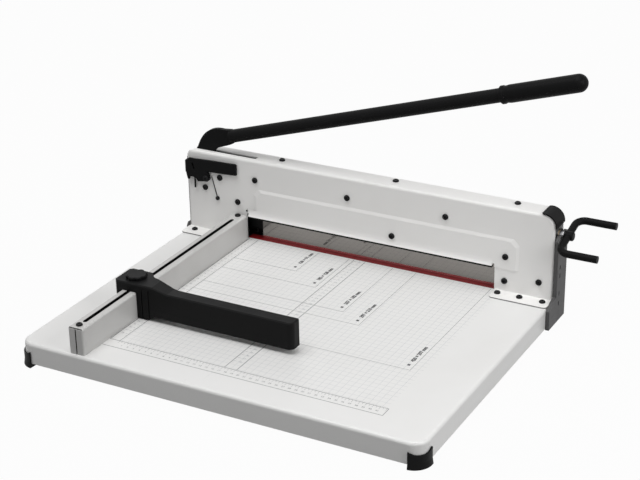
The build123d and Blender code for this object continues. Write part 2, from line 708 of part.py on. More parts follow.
def corner_strap():
    """Bent strap that closes the top right corner between face and back."""
    def corner(grow):
        return Pos(HOUSING_RIGHT - CORNER_RIGHT, HOUSING_HEIGHT - CORNER_RIGHT) * Circle(
            CORNER_RIGHT + grow)
    x_mid = HOUSING_RIGHT - CORNER_RIGHT
    z_mid = HOUSING_HEIGHT - CORNER_RIGHT
    quarter = Pos(x_mid + CORNER_RIGHT, z_mid + CORNER_RIGHT) * Rectangle(
        2 * CORNER_RIGHT, 2 * CORNER_RIGHT)
    bend = (corner(STRAP_THICK) - corner(0.0)) & quarter
    half = BACK_OUT + STRAP_OVERHANG
    end = HOUSING_HEIGHT - STRAP_DROP
    strap = upright(bend, -half, half)
    strap += block(x_mid - 1.0, x_mid, -half, half, HOUSING_HEIGHT, HOUSING_HEIGHT + STRAP_THICK)
    strap += block(HOUSING_RIGHT, HOUSING_RIGHT + STRAP_THICK, -half, half, end, z_mid)
    x_tip, y_tip = x_mid - STRAP_TONGUE, half - 0.5 * STRAP_TONGUE
    tongue = outline((x_mid - 1, -half), (x_tip, -y_tip), (x_tip, y_tip), (x_mid - 1, half))
    strap += flat(tongue, HOUSING_HEIGHT, HOUSING_HEIGHT + STRAP_THICK)
    return strap - shaft_room()


# ---- blade carriage
def slope_slot(x, z, length, width):
    return Pos(x, z) * Rot(0, 0, CUT_ANGLE) * SlotCenterToCenter(length, width)


def blade_bolt_height():
    return BLADE_TOP - BLADE_BOLT_DROP


def blade_carriage():
    """Steel plate with three sloping slots; it carries the blade and the drive pin."""
    plate = upright(rounded(CARRIAGE_LEFT, CARRIAGE_RIGHT, CARRIAGE_LOW, CARRIAGE_HIGH, 6.0),
                    BLADE_THICK, CARRIAGE_BACK)
    for x in ROLLER_PLACES:
        slot = slope_slot(x - SLOT_SHIFT * RISE[0], ROLLER_HEIGHT - SLOT_SHIFT * RISE[1],
                          LIFT + DROP, ROLLER_DIA + 2 * SLOT_CLEAR)
        plate -= upright(slot, BLADE_THICK - 1, CARRIAGE_BACK + 1)
    for x in BLADE_BOLT_PLACES:
        plate -= rod_y(screw_hole(), BLADE_THICK - 1, CARRIAGE_BACK + 1, x, blade_bolt_height())
    return plate - rod_y(DRIVE_PIN_DIA * 0.7, BLADE_THICK - 1, CARRIAGE_BACK + 1, PIN_X, PIN_Z)


def drive_pin():
    neck = DRIVE_PIN_DIA * 0.7 - 0.05
    pin = rod_y(DRIVE_PIN_DIA, HUB_FRONT, BLADE_THICK, PIN_X, PIN_Z)
    pin = chamfer(pin.edges().sort_by(Axis.Y)[0], 0.6)
    return pin + rod_y(neck, BLADE_THICK, CARRIAGE_BACK, PIN_X, PIN_Z)


def blade_bolt(x):
    """Countersunk screw flush with the blade's flat face."""
    head, sink, shank = BLADE_SCREW
    z = blade_bolt_height()
    cone = Cone(head / 2, shank / 2, sink, align=(Align.CENTER, Align.CENTER, Align.MIN))
    screw = Pos(x, 0.2, z) * Rot(-90, 0, 0) * cone
    screw += rod_y(shank, 0.2, CARRIAGE_BACK - 0.4, x, z)
    socket = upright(Pos(x, z) * RegularPolygon(shank * 0.38, 6), 0.0, shank * 0.36)
    return screw - socket


def blade():
    """Ground knife: flat towards the clamp, bevelled behind."""
    edge, top = BLADE_EDGE, BLADE_TOP
    profile = outline((0, edge), (BLADE_THICK, edge + BEVEL_HEIGHT), (BLADE_THICK, top), (0, top))
    knife = sideways(profile, BLADE_START, BLADE_START + BLADE_LENGTH)
    for x in BLADE_BOLT_PLACES:
        z = blade_bolt_height()
        cone = Cone(BLADE_SCREW[0] / 2 + 0.3, BUTTON[2] / 2 + 0.1, BLADE_SCREW[1] + 0.3,
                    align=(Align.CENTER, Align.CENTER, Align.MIN))
        knife -= Pos(x, 0, z) * Rot(-90, 0, 0) * cone
        knife -= rod_y(screw_hole(), -1, BLADE_THICK + 1, x, z)
    return knife


def guide_roller(x):
    """Hardened roller standing on the back sheet."""
    roller = rod_y(ROLLER_DIA, BLADE_THICK + 0.4, BACK_IN, x, ROLLER_HEIGHT)
    return roller - rod_y(screw_hole(), BACK_IN - SCREW_LENGTH + SHEET - 0.5, BACK_IN + 1,
                          x, ROLLER_HEIGHT)


# ---- lever
def turned(point, angle):
    c, s = math.cos(angle), math.sin(angle)
    return (point[0] * c + point[1] * s, -point[0] * s + point[1] * c)


def from_pivot(point):
    return (PIVOT_X + point[0], PIVOT_Z + point[1])


def cam_outline(half):
    """Region within half of the involute path that the drive pin follows in the hub."""
    steps = 8
    upper, lower = [], []
    for step in range(steps + 1):
        angle = math.radians(-LEVER_DOWN + (LEVER_DOWN + LEVER_UP) * step / steps)
        run = DRIVE_RADIUS * angle
        arm = (PIN_ARM[0] + run * RISE[0], PIN_ARM[1] + run * RISE[1])
        centre = from_pivot(turned(arm, angle))
        normal = turned(RISE, angle)
        upper.append((centre[0] + half * normal[0], centre[1] + half * normal[1]))
        lower.append((centre[0] - half * normal[0], centre[1] - half * normal[1]))
        along = (normal[1], -normal[0])
        if step == 0:
            near = (centre[0] - half * along[0], centre[1] - half * along[1])
    far = (centre[0] + half * along[0], centre[1] + half * along[1])
    return make_face([Spline(*upper), ThreePointArc(upper[-1], far, lower[-1]),
                      Spline(*reversed(lower)), ThreePointArc(lower[0], near, upper[0])])


def tube_frame(along):
    """Place on the tube's axis, looking along it, with the lever as drawn."""
    x = PIVOT_X - TUBE_OFFSET * math.sin(TUBE_ANGLE) + along * math.cos(TUBE_ANGLE)
    z = PIVOT_Z + TUBE_OFFSET * math.cos(TUBE_ANGLE) + along * math.sin(TUBE_ANGLE)
    return Plane(origin=(x, LEVER_MID, z), x_dir=(0, 1, 0),
                 z_dir=(math.cos(TUBE_ANGLE), 0, math.sin(TUBE_ANGLE)))


def tube_point(along, across):
    c, s = math.cos(TUBE_ANGLE), math.sin(TUBE_ANGLE)
    return from_pivot((along * c - (TUBE_OFFSET + across) * s,
                       along * s + (TUBE_OFFSET + across) * c))


def hub_neck():
    """Swan neck from the pivot disc up to the tube."""
    half = TUBE_DIA / 2
    reach = HUB_RADIUS
    foot_left = from_pivot((-reach * 0.98, reach * 0.2))
    foot_right = from_pivot((reach * 0.85, reach * 0.53))
    heel = from_pivot((-18.5, 59.0))
    crown = from_pivot((32.0, 100.2))
    edges = [
        Spline(foot_left, from_pivot((-25.5, 32.0)), heel, from_pivot((-6.0, 84.5)), crown),
        Line(crown, tube_point(TUBE_START, half)),
        Line(tube_point(TUBE_START, half), tube_point(TUBE_START, -half)),
        Spline(tube_point(TUBE_START, -half), from_pivot((33.0, 72.5)), from_pivot((15.0, 62.5)),
               from_pivot((13.0, 40.0)), foot_right),
        Line(foot_right, foot_left),
    ]
    return make_face(edges)


def lever_hub():
    """Cast hub: pivot disc, arm with the cam slot, neck and the stub inside the tube."""
    body = Pos(PIVOT_X, PIVOT_Z) * Circle(HUB_RADIUS)
    body = body + hub_neck() + cam_outline(DRIVE_PIN_DIA / 2 + CAM_WALL)
    web = outline(from_pivot((0, -HUB_RADIUS)), from_pivot((52, -44)), from_pivot((58, -8)),
                  from_pivot((22, 18)))
    hub = upright(body + web, HUB_FRONT, HUB_BACK)
    hub -= upright(cam_outline(DRIVE_PIN_DIA / 2 + SLOT_CLEAR), HUB_FRONT - 1, HUB_BACK + 1)
    hub -= rod_y(bush_dia(), HUB_FRONT - 1, HUB_BACK + 1, PIVOT_X, PIVOT_Z)
    stub = extrude(tube_frame(TUBE_START) * Circle(TUBE_DIA / 2 - TUBE_WALL - 0.1),
                   amount=STUB_LENGTH)
    collar = extrude(tube_frame(TUBE_START - 5.0) * Circle(TUBE_DIA / 2), amount=4.9)
    return hub + collar + stub


def bush_dia():
    return PIVOT_DIA + 2 * BUSH_WALL


def pivot_bush():
    bush = rod_y(bush_dia() - 0.04, HUB_FRONT, HUB_BACK, PIVOT_X, PIVOT_Z)
    return bush - rod_y(PIVOT_DIA + 2 * PIVOT_FIT, HUB_FRONT - 1, HUB_BACK + 1, PIVOT_X, PIVOT_Z)


def lever_tube():
    ring = Circle(TUBE_DIA / 2) - Circle(TUBE_DIA / 2 - TUBE_WALL)
    return extrude(tube_frame(TUBE_START) * ring, amount=TUBE_END - TUBE_START)


def lever_grip():
    """Moulded grip with a shallow collar, ribs and a rounded tip."""
    half = GRIP_DIA / 2
    start, end = GRIP_START, GRIP_END
    points = [(0, 0), (half - 0.8, 0), (half, 0.8), (half, 5.0), (half - 0.9, 6.5),
              (half - 0.9, 10.0), (half - 0.2, 14.0)]
    length = end - start
    cap = half - 0.2
    tip = (cap * math.cos(math.radians(85)), length - cap + cap * math.sin(math.radians(85)))
    profile = make_face([
        Polyline(*points, (cap, length - cap)),
        ThreePointArc((cap, length - cap), (cap * 0.7071, length - cap + cap * 0.7071), tip),
        Polyline(tip, (0, tip[1]), (0, 0)),
    ])
    grip = revolve(Plane.XZ * profile, axis=Axis.Z)
    grip -= rod_z(TUBE_DIA + 0.04, -1, TUBE_END - start, 0, 0)
    return tube_frame(start).location * grip


def pivot_pin():
    """Fixed pin across the housing, screwed on from both sides."""
    pin = rod_y(PIVOT_DIA, FACE_IN, BACK_IN, PIVOT_X, PIVOT_Z)
    depth = SCREW_LENGTH - SHEET + 0.4
    pin -= rod_y(screw_hole(), FACE_IN - 1, FACE_IN + depth, PIVOT_X, PIVOT_Z)
    return pin - rod_y(screw_hole(), BACK_IN - depth, BACK_IN + 1, PIVOT_X, PIVOT_Z)


def pivot_spacers():
    gap = 0.3
    rings = []
    for y0, y1 in ((FACE_IN, HUB_FRONT - gap), (HUB_BACK + gap, BACK_IN)):
        ring = rod_y(SPACER_DIA, y0, y1, PIVOT_X, PIVOT_Z)
        rings.append(ring - rod_y(PIVOT_DIA + 0.04, y0 - 1, y1 + 1, PIVOT_X, PIVOT_Z))
    return group(rings)


def hub_guide():
    """Pad plate behind the face that keeps the hub from leaning forward."""
    (xa, za), (xb, zb) = BLOCK_BOLTS[4], BLOCK_BOLTS[5]
    length = math.hypot(xb - xa, zb - za)
    tilt = math.degrees(math.atan2(zb - za, xb - xa))
    shape = Pos((xa + xb) / 2, (za + zb) / 2) * Rot(0, 0, tilt) * SlotCenterToCenter(length, 18.0)
    pad = upright(shape, FACE_IN, HUB_FRONT - 0.3)
    for x, z in (BLOCK_BOLTS[4], BLOCK_BOLTS[5]):
        pad -= rod_y(screw_hole(), FACE_IN - 1, FACE_IN + SCREW_LENGTH - SHEET + 0.4, x, z)
    return pad


# ---- paper clamp
def clamp_plate():
    """Polished pressing plate with three tabs that reach up to the slider."""
    low, high = CLAMP_REST, CLAMP_REST + CLAMP_HEIGHT
    plate = block(CLAMP_LEFT, CLAMP_RIGHT, CLAMP_FACE, CLAMP_BACK, low, high)
    for x in TAB_PLACES:
        tab = rounded(x - TAB_WIDTH / 2, x + TAB_WIDTH / 2, high - 8, TAB_PIN_HEIGHT + 8, 4.0)
        plate += upright(tab, CLAMP_FACE, CLAMP_BACK)
        plate -= rod_y(TAB_PIN_DIA * 0.7, CLAMP_FACE - 1, CLAMP_BACK + 1, x, TAB_PIN_HEIGHT)
    for x in CLAMP_SCREW_PLACES:
        plate -= rod_y(SMALL_BUTTON[2] + HOLE_CLEAR, CLAMP_FACE - 1, CLAMP_BACK + 1,
                       x, CLAMP_SCREW_HEIGHT)
    return chamfer(plate.edges().filter_by(Axis.X).group_by(Axis.Z)[0], 0.5)


def clamp_stiffener():
    """Dark bar screwed along the plate just under the lip."""
    high = CLAMP_REST + CLAMP_HEIGHT
    bar = block(CLAMP_LEFT + STIFFENER_INSET, CLAMP_RIGHT - STIFFENER_INSET,
                STIFFENER_FACE, CLAMP_FACE, STIFFENER_LOW, high)
    for x in CLAMP_SCREW_PLACES:
        bar -= rod_y(SMALL_BUTTON[2] + HOLE_CLEAR, STIFFENER_FACE - 1, CLAMP_FACE + 1,
                     x, CLAMP_SCREW_HEIGHT)
    return bar


def clamp_screw(x):
    return front_screw(x, STIFFENER_FACE, CLAMP_SCREW_HEIGHT, CLAMP_SCREW_HEAD,
                       STIFFENER_THICK + CLAMP_THICK - 0.2)


def clamp_pin(x):
    pin = rod_y(TAB_PIN_DIA, SLIDER_FRONT, CLAMP_FACE, x, TAB_PIN_HEIGHT)
    return pin + rod_y(TAB_PIN_DIA * 0.7 - 0.06, CLAMP_FACE, CLAMP_BACK, x, TAB_PIN_HEIGHT)


def clamp_slider():
    """Bar with 45 degree slots; moving it left lifts the clamp by the same amount."""
    bar = upright(rounded(SLIDER_LEFT, SLIDER_RIGHT, SLIDER_LOW, SLIDER_HIGH, 5.0),
                  SLIDER_FRONT, SLIDER_BACK)
    half = CLAMP_TRAVEL / 2
    for x in TAB_PLACES:
        slot = Pos(x + half, TAB_PIN_HEIGHT + half) * Rot(0, 0, 45) * SlotCenterToCenter(
            CLAMP_TRAVEL * math.sqrt(2), TAB_PIN_DIA + 2 * SLOT_CLEAR)
        bar -= upright(slot, SLIDER_FRONT - 1, SLIDER_BACK + 1)
    for x, z in POST_BOLTS:
        slot = Pos(x + half, z) * SlotCenterToCenter(CLAMP_TRAVEL, POST_DIA + 2 * SLOT_CLEAR)
        bar -= upright(slot, SLIDER_FRONT - 1, SLIDER_BACK + 1)
    return bar


def slider_nut():
    """Nut block behind the slider's right end, running on the spindle."""
    half = THREAD_DIA / 2 + SPINDLE_FIT
    nut = block(NUT_START, NUT_START + NUT_LENGTH, SLIDER_BACK, half + NUT_WALL,
                SPINDLE_HEIGHT - NUT_HEIGHT / 2, SPINDLE_HEIGHT + NUT_HEIGHT / 2)
    return nut - rod_x(2 * half, NUT_START - 1, NUT_START + NUT_LENGTH + 1, 0, SPINDLE_HEIGHT)


def slider_post(x, z):
    """Shoulder post with a flange that carries the slider behind the face."""
    shoulder = SLIDER_BACK + 0.3
    post = rod_y(POST_DIA, FACE_IN, shoulder, x, z)
    post += rod_y(POST_FLANGE, shoulder, shoulder + 1.4, x, z)
    return post - rod_y(screw_hole(), FACE_IN - 1, FACE_IN + SCREW_LENGTH - SHEET + 0.3, x, z)


def clamp_pad():
    """Nylon button that bears on the stiffener, grooved for the screw heads that pass it."""
    x, z = PAD_BOLT
    pad = rod_y(PAD_DIA, PANEL_OUT + SHEET, STIFFENER_FACE - 0.3, x, z)
    passing = min(CLAMP_SCREW_PLACES, key=lambda place: abs(place - x))
    half = CLAMP_SCREW_HEAD[0] / 2 + 0.5
    pad -= block(passing - half, passing + half, STIFFENER_FACE - CLAMP_SCREW_HEAD[1] - 0.4,
                 STIFFENER_FACE, z - PAD_DIA, z + PAD_DIA)
    return pad - rod_y(screw_hole(), PANEL_OUT, PANEL_OUT + SCREW_LENGTH + 0.4, x, z)


def clamp_guide_left():
    x0 = PANEL_LEFT - 0.5
    low, high = PAPER_HEIGHT + LIP_ROLL, BLOCK_BOLTS[0][1] + 8
    cheek = block(x0, CLAMP_LEFT - 0.3, FACE_IN, CLAMP_BACK, low, high)
    face = block(x0, CLAMP_LEFT + 9, FACE_IN, CLAMP_FACE - 0.3, low, SLIDER_LOW - 4)
    guide = cheek + face
    return guide - rod_y(screw_hole(), FACE_IN - 1, FACE_IN + SCREW_LENGTH - SHEET + 0.4,
                         *BLOCK_BOLTS[0])


def clamp_guide_right():
    (xa, za), (xb, zb) = BLOCK_BOLTS[1], BLOCK_BOLTS[2]
    low, high = SHEET + 2, SLIDER_LOW - 6
    cheek = block(CLAMP_RIGHT + 0.3, xa + 10, FACE_IN, CLAMP_BACK, low, high)
    face = block(CLAMP_RIGHT - 9, CLAMP_RIGHT + 1, FACE_IN, CLAMP_FACE - 0.3,
                 PAPER_HEIGHT + LIP_ROLL, high)
    guide = cheek + face
    guide -= rod_y(screw_hole(), FACE_IN - 1, FACE_IN + SCREW_LENGTH - SHEET + 0.4, xa, za)
    return guide - rod_y(screw_hole(), FACE_IN - 1, FACE_IN + SCREW_LENGTH - SHEET + 0.4, xb, zb)


def bush_outer():
    return JOURNAL_DIA + 4.0


def spindle_bush():
    """Plain bush in the right end upright."""
    inner = HOUSING_RIGHT - END_PLATE
    bush = rod_x(bush_outer() - 0.04, inner, HOUSING_RIGHT - 0.2, 0, SPINDLE_HEIGHT)
    return bush - rod_x(JOURNAL_DIA + 2 * SPINDLE_FIT, inner - 1, HOUSING_RIGHT + 1,
                        0, SPINDLE_HEIGHT)


def clamp_spindle():
    """Screw spindle with its thrust collar inside the housing."""
    inner = HOUSING_RIGHT - END_PLATE - 0.3
    z = SPINDLE_HEIGHT
    spindle = rod_x(THREAD_DIA, SPINDLE_START, inner - COLLAR_LENGTH, 0, z)
    spindle += rod_x(COLLAR_DIA, inner - COLLAR_LENGTH, inner, 0, z)
    spindle += rod_x(JOURNAL_DIA, inner, HANDLE_PLANE - BOSS_BACK, 0, z)
    return spindle + rod_x(JOURNAL_DIA * 0.6, HANDLE_PLANE - BOSS_BACK, HANDLE_PLANE, 0, z)


def handle_path():
    """Bent rod: two arms along X joined by a sloping cross piece."""
    y, z = HANDLE_ARM_Y, HANDLE_ARM_Z
    x, end, mid = HANDLE_PLANE, HANDLE_END, SPINDLE_HEIGHT
    corner = FilletPolyline((end, -y, mid - z), (x, -y, mid - z), (x, y, mid + z),
                            (end, y, mid + z), radius=HANDLE_BEND)
    return corner


def clamp_handle():
    path = handle_path()
    start = Plane(origin=path @ 0, z_dir=path % 0)
    rod = sweep(start * Circle(HANDLE_ROD / 2), path=path)
    boss = rod_x(BOSS_DIA, HANDLE_PLANE - BOSS_BACK, HANDLE_PLANE + BOSS_FRONT, 0, SPINDLE_HEIGHT)
    boss = chamfer(boss.edges().sort_by(Axis.X)[-1], 1.5)
    socket = rod_x(JOURNAL_DIA * 0.6 + 0.06, HANDLE_PLANE - BOSS_BACK - 1, HANDLE_PLANE + 0.1,
                   0, SPINDLE_HEIGHT)
    return rod + boss - socket


# ---- fence and gauge
def side_fence():
    """Folded sheet box, open below, slotted on top, with end flaps that meet at a seam."""
    width, high, wall, bend = FENCE_WIDTH, FENCE_HEIGHT, FENCE_WALL, FENCE_BEND
    fence = block(-width, 0, FENCE_FRONT, FENCE_REAR, 0, high)
    fence = fillet(fence.edges().filter_by(lambda edge: edge.center().Z > 0.1), bend)
    fence -= block(wall - width, -wall, FENCE_FRONT + wall, FENCE_REAR - wall, wall, high - wall)
    side = wall + FENCE_FOOT
    fence -= block(side - width, -side, FENCE_FRONT + wall, FENCE_REAR - wall, -1, wall + 1)
    half = FENCE_SEAM / 2
    fence -= block(FENCE_MID - half, FENCE_MID + half, FENCE_FRONT - 1, FENCE_REAR + 1,
                   -1, high - wall)
    start, end = FENCE_SLOT_ENDS
    slot = Pos(FENCE_MID, (start + end) / 2) * Rot(0, 0, 90) * SlotOverall(end - start, FENCE_SLOT)
    fence -= flat(slot, high - wall - 1, high + 1)
    for x, y in fence_screw_places():
        fence -= rod_z(screw_hole(), high - wall - 1, high + 1, x, y)
    return fence


def fence_screw(place):
    x, y = place
    below = TABLE_SHEET + NUT_THICK + 1.0
    if y > BEAM_FRONT:
        below = TABLE_SHEET + BEAM_TOP + NUT_THICK + 1.0
    return Pos(x, y, FENCE_HEIGHT) * head_up(BUTTON, FENCE_HEIGHT + below)


def gauge_shell():
    """Arm with a flared shoulder and the block that rides over the fence."""
    left = -FENCE_WIDTH - BLOCK_LEFT
    back = GAUGE_FRONT + BLOCK_DEPTH
    plan = make_face([
        Polyline((left + 4, GAUGE_FRONT), (GAUGE_LENGTH - GAUGE_END_RADIUS, GAUGE_FRONT)),
        ThreePointArc((GAUGE_LENGTH - GAUGE_END_RADIUS, GAUGE_FRONT),
                      (GAUGE_LENGTH - 0.3 * GAUGE_END_RADIUS, GAUGE_FRONT + 0.3 * GAUGE_END_RADIUS),
                      (GAUGE_LENGTH, GAUGE_FRONT + GAUGE_END_RADIUS)),
        Polyline((GAUGE_LENGTH, GAUGE_FRONT + GAUGE_END_RADIUS), (GAUGE_LENGTH, GAUGE_BACK),
                 *((x, GAUGE_BACK + y) for x, y in SHOULDER),
                 (left + 4, back), (left, back - 4), (left, GAUGE_FRONT + 4),
                 (left + 4, GAUGE_FRONT)),
    ])
    end = GAUGE_LENGTH + 1
    above = outline((SHOULDER_START, GAUGE_HEIGHT), (SHOULDER_END, GAUGE_ARM_TOP),
                    (end, GAUGE_ARM_TOP), (end, GAUGE_HEIGHT + 1), (SHOULDER_START, GAUGE_HEIGHT + 1))
    below = outline((BLOCK_RIGHT, 0), (end, 0), (end, GAUGE_ARM_LOW),
                    (BLOCK_RIGHT + 2 * GAUGE_ARM_LOW, GAUGE_ARM_LOW))
    cuts = upright(above, GAUGE_FRONT - 1, back + 1) + upright(below, GAUGE_FRONT - 1, back + 1)
    return flat(plan, GAUGE_LIFT, GAUGE_HEIGHT) - cuts


def gauge_arm():
    body = gauge_shell()
    rim = body.edges().filter_by(lambda edge: edge.center().Z > GAUGE_ARM_TOP - 1
                                 and abs(edge.center().Y - GAUGE_FRONT) < 1
                                 and edge.bounding_box().size.X > 20)
    body = chamfer(rim, 1.6)
    left = -FENCE_WIDTH - BLOCK_LEFT
    y0, y1 = GAUGE_FRONT - 1, GAUGE_FRONT + BLOCK_DEPTH + 1
    gap = GAUGE_CLEAR
    body -= block(left - 1, gap, y0, y1, 0, BLOCK_SILL)
    body -= block(-FENCE_WIDTH - gap, gap, y0, y1, 0, FENCE_HEIGHT + gap)
    wall = GAUGE_WALL
    room = block(BLOCK_RIGHT + 4, GAUGE_LENGTH - wall - 4, GAUGE_FRONT + wall, GAUGE_BACK - wall,
                 GAUGE_LIFT - 1, GAUGE_ARM_TOP - wall - 1)
    pitch = (GAUGE_LENGTH - BLOCK_RIGHT) / 5
    for step in range(1, 5):
        x = BLOCK_RIGHT + pitch * step
        room -= block(x - wall / 2, x + wall / 2, GAUGE_FRONT, GAUGE_BACK, GAUGE_ARM_LOW + 2,
                      GAUGE_HEIGHT)
    body -= room
    body -= rod_z(STUD_DIA + 0.3, FENCE_HEIGHT - 1, GAUGE_HEIGHT + 1, FENCE_MID, BLOCK_MID)
    for x in BLOCK_GROOVES:
        body -= block(x, x + 1.6, GAUGE_FRONT - 1, GAUGE_FRONT + 1.2, GAUGE_LIFT - 1,
                      GAUGE_HEIGHT - 6)
    return body


def tee_top():
    return FENCE_HEIGHT - FENCE_WALL - TEE_NUT_CLEAR


def gauge_t_nut():
    half = FENCE_WIDTH / 2 - FENCE_WALL - TEE_NUT_CLEAR
    low = tee_top() - TEE_NUT_HEIGHT
    nut = block(FENCE_MID - half, FENCE_MID + half, BLOCK_MID - TEE_NUT_LENGTH / 2,
                BLOCK_MID + TEE_NUT_LENGTH / 2, low, tee_top())
    return nut - rod_z(STUD_DIA + 0.04, low - 1, tee_top() + 1, FENCE_MID, BLOCK_MID)


def gauge_stud():
    return rod_z(STUD_DIA, tee_top() - TEE_NUT_HEIGHT, GAUGE_HEIGHT + KNOB_LIFT + KNOB_HEIGHT - 1.6,
                 FENCE_MID, BLOCK_MID)


def gauge_washer():
    ring = rod_z(18.0, GAUGE_HEIGHT, GAUGE_HEIGHT + KNOB_LIFT - 0.3, FENCE_MID, BLOCK_MID)
    return ring - rod_z(STUD_DIA + 0.04, GAUGE_HEIGHT - 1, GAUGE_HEIGHT + KNOB_LIFT + 1,
                        FENCE_MID, BLOCK_MID)


def gauge_knob():
    """Lobed clamping knob."""
    low = GAUGE_HEIGHT + KNOB_LIFT
    shape = Circle(KNOB_DIA / 2)
    for lobe in range(KNOB_LOBES):
        angle = math.radians(360 / KNOB_LOBES * (lobe + 0.5))
        reach = KNOB_DIA / 2 + 4.0
        shape -= Pos(reach * math.cos(angle), reach * math.sin(angle)) * Circle(5.5)
    knob = Pos(FENCE_MID, BLOCK_MID) * flat(shape, low, low + KNOB_HEIGHT)
    knob = chamfer(knob.faces().sort_by(Axis.Z)[-1].edges(), 1.2)
    return knob - rod_z(STUD_DIA + 2 * STUD_FIT, low - 1, low + KNOB_HEIGHT - 1.2,
                        FENCE_MID, BLOCK_MID)


# ---- safety latch
def latch_front():
    return FACE_OUT - LATCH_STAND - LATCH_THICK


def latch_back():
    return FACE_OUT - LATCH_STAND


def latch_bar():
    """Hooked lever on the face; its leg wraps the left edge under the raised heel."""
    back, heel, belly = latch_points(LATCH_BACK), latch_points(LATCH_HEEL), latch_points(LATCH_BELLY)
    shoulder = latch_points((LATCH_SHOULDER,))[0]
    shape = make_face([
        Polyline(*back),
        ThreePointArc(back[-1], heel[0], heel[1]),
        Polyline(heel[1], *belly),
        ThreePointArc(belly[-1], shoulder, back[0]),
    ])
    leg_in = HOUSING_LEFT - 0.3
    leg_out = leg_in - LATCH_LEG
    low, high = belly[-2][1], LATCH_Z + LATCH_BACK[0][1]
    hollow = block(leg_in, 0, latch_back(), LATCH_LEG_END + 1, 0, HOUSING_HEIGHT)
    wrap = upright(shape, latch_front(), LATCH_LEG_END) - hollow
    wrap = wrap - block(leg_out - 1, leg_in, latch_back(), LATCH_LEG_END + 1, 0, low)
    bend = block(leg_out, leg_out + LATCH_BEND, latch_front(), latch_front() + LATCH_BEND,
                 low - 20, high)
    bend -= rod_z(2 * LATCH_BEND, low - 21, high + 1, leg_out + LATCH_BEND,
                  latch_front() + LATCH_BEND)
    plate = wrap - bend
    plate -= rod_y(LATCH_PIVOT_DIA + 2 * LATCH_FIT, latch_front() - 1, latch_back() + 1,
                   LATCH_X, LATCH_Z)
    slit = Pos(*latch_points((LATCH_SLIT,))[0]) * Rot(0, 0, 108) * SlotOverall(12.0, 3.0)
    plate -= upright(slit, latch_front() - 1, latch_back() + 1)
    return plate - release_pin(LATCH_PIN_DIA + 0.04, LATCH_PIN_LENGTH)


def latch_points(offsets):
    return [(LATCH_X + x, LATCH_Z + z) for x, z in offsets]


def release_pin(dia, length):
    top = LATCH_Z + LATCH_PIN_TOP
    return rod_z(dia, top - length, top, LATCH_X + LATCH_PIN_X, (latch_front() + latch_back()) / 2)


def latch_pin():
    """Thin release pin hanging from the latch."""
    return release_pin(LATCH_PIN_DIA, LATCH_PIN_LENGTH)


def latch_pivot():
    """Shoulder screw with the washer that stands the latch off the face."""
    top = latch_front() - 0.2
    screw = front_screw(LATCH_X, top, LATCH_Z, (9.5, 2.4, LATCH_PIVOT_DIA), latch_back() - top - 0.1)
    screw += rod_y(BUTTON[2], latch_back() - 1, FACE_IN + 1.5, LATCH_X, LATCH_Z)
    washer = rod_y(11.0, latch_back() + 0.15, FACE_OUT, LATCH_X, LATCH_Z)
    return screw + washer


def latch_spring():
    """Wire link from the latch down to its anchor screw."""
    y = FACE_OUT - LATCH_STAND / 2
    top, low = latch_points(((7.0, 6.0),))[0], (ANCHOR_X, ANCHOR_Z)
    length = math.hypot(top[0] - low[0], top[1] - low[1])
    tilt = math.degrees(math.atan2(top[1] - low[1], top[0] - low[0]))
    rod = Pos((top[0] + low[0]) / 2, (top[1] + low[1]) / 2) * Rot(0, 0, tilt) * SlotOverall(
        length - 6.0, SPRING_WIRE)
    wire = upright(rod, y - SPRING_WIRE / 2, y + SPRING_WIRE / 2)
    eye = rod_y(7.0, y - SPRING_WIRE / 2, y + SPRING_WIRE / 2, ANCHOR_X, ANCHOR_Z)
    return wire + eye - rod_y(SMALL_BUTTON[2] + HOLE_CLEAR, y - 3, y + 3, ANCHOR_X, ANCHOR_Z)


# ---- all nodes
def front_bolts():
    bolts = []
    for x, z in BLOCK_BOLTS + POST_BOLTS + (PAD_BOLT, (PIVOT_X, PIVOT_Z)):
        raised = PANEL_LEFT < x < PANEL_RIGHT and PAPER_HEIGHT < z < PANEL_TOP
        bolts.append(front_screw(x, PANEL_OUT if raised else FACE_OUT, z, BUTTON, SCREW_LENGTH))
    return group(bolts)


def top_bolts():
    return group([Pos(x, TOP_BOLT_LINE, HOUSING_HEIGHT) * head_up(BUTTON, SCREW_LENGTH)
                  for x in TOP_BOLTS])


def flange_screws():
    length = SHEET + TABLE_SHEET + BEAM_TOP + NUT_THICK + 1.0
    return group([Pos(x, y, SHEET) * head_up(BUTTON, length)
                  for x, y in flange_screw_places() + rear_foot_places()])


def table_nuts():
    places = flange_screw_places() + rear_foot_places() + fence_screw_places()[1:]
    nuts = [hex_nut(x, y, -TABLE_SHEET - BEAM_TOP - NUT_THICK) for x, y in places]
    x, y = fence_screw_places()[0]
    return group(nuts + [hex_nut(x, y, -TABLE_SHEET - NUT_THICK)])


def rear_bolts():
    bolts = [rear_screw(x, BACK_OUT, ROLLER_HEIGHT, BUTTON, SCREW_LENGTH) for x in ROLLER_PLACES]
    bolts.append(rear_screw(PIVOT_X, BACK_OUT, PIVOT_Z, BUTTON, SCREW_LENGTH))
    bolts += [rear_screw(x, BACK_OUT, z, SMALL_BUTTON, SCREW_LENGTH - 1)
              for x, z in rear_screw_places()]
    return group(bolts)


def anchor_screw():
    return front_screw(ANCHOR_X, FACE_OUT - LATCH_STAND, ANCHOR_Z, SMALL_BUTTON, 5.0)


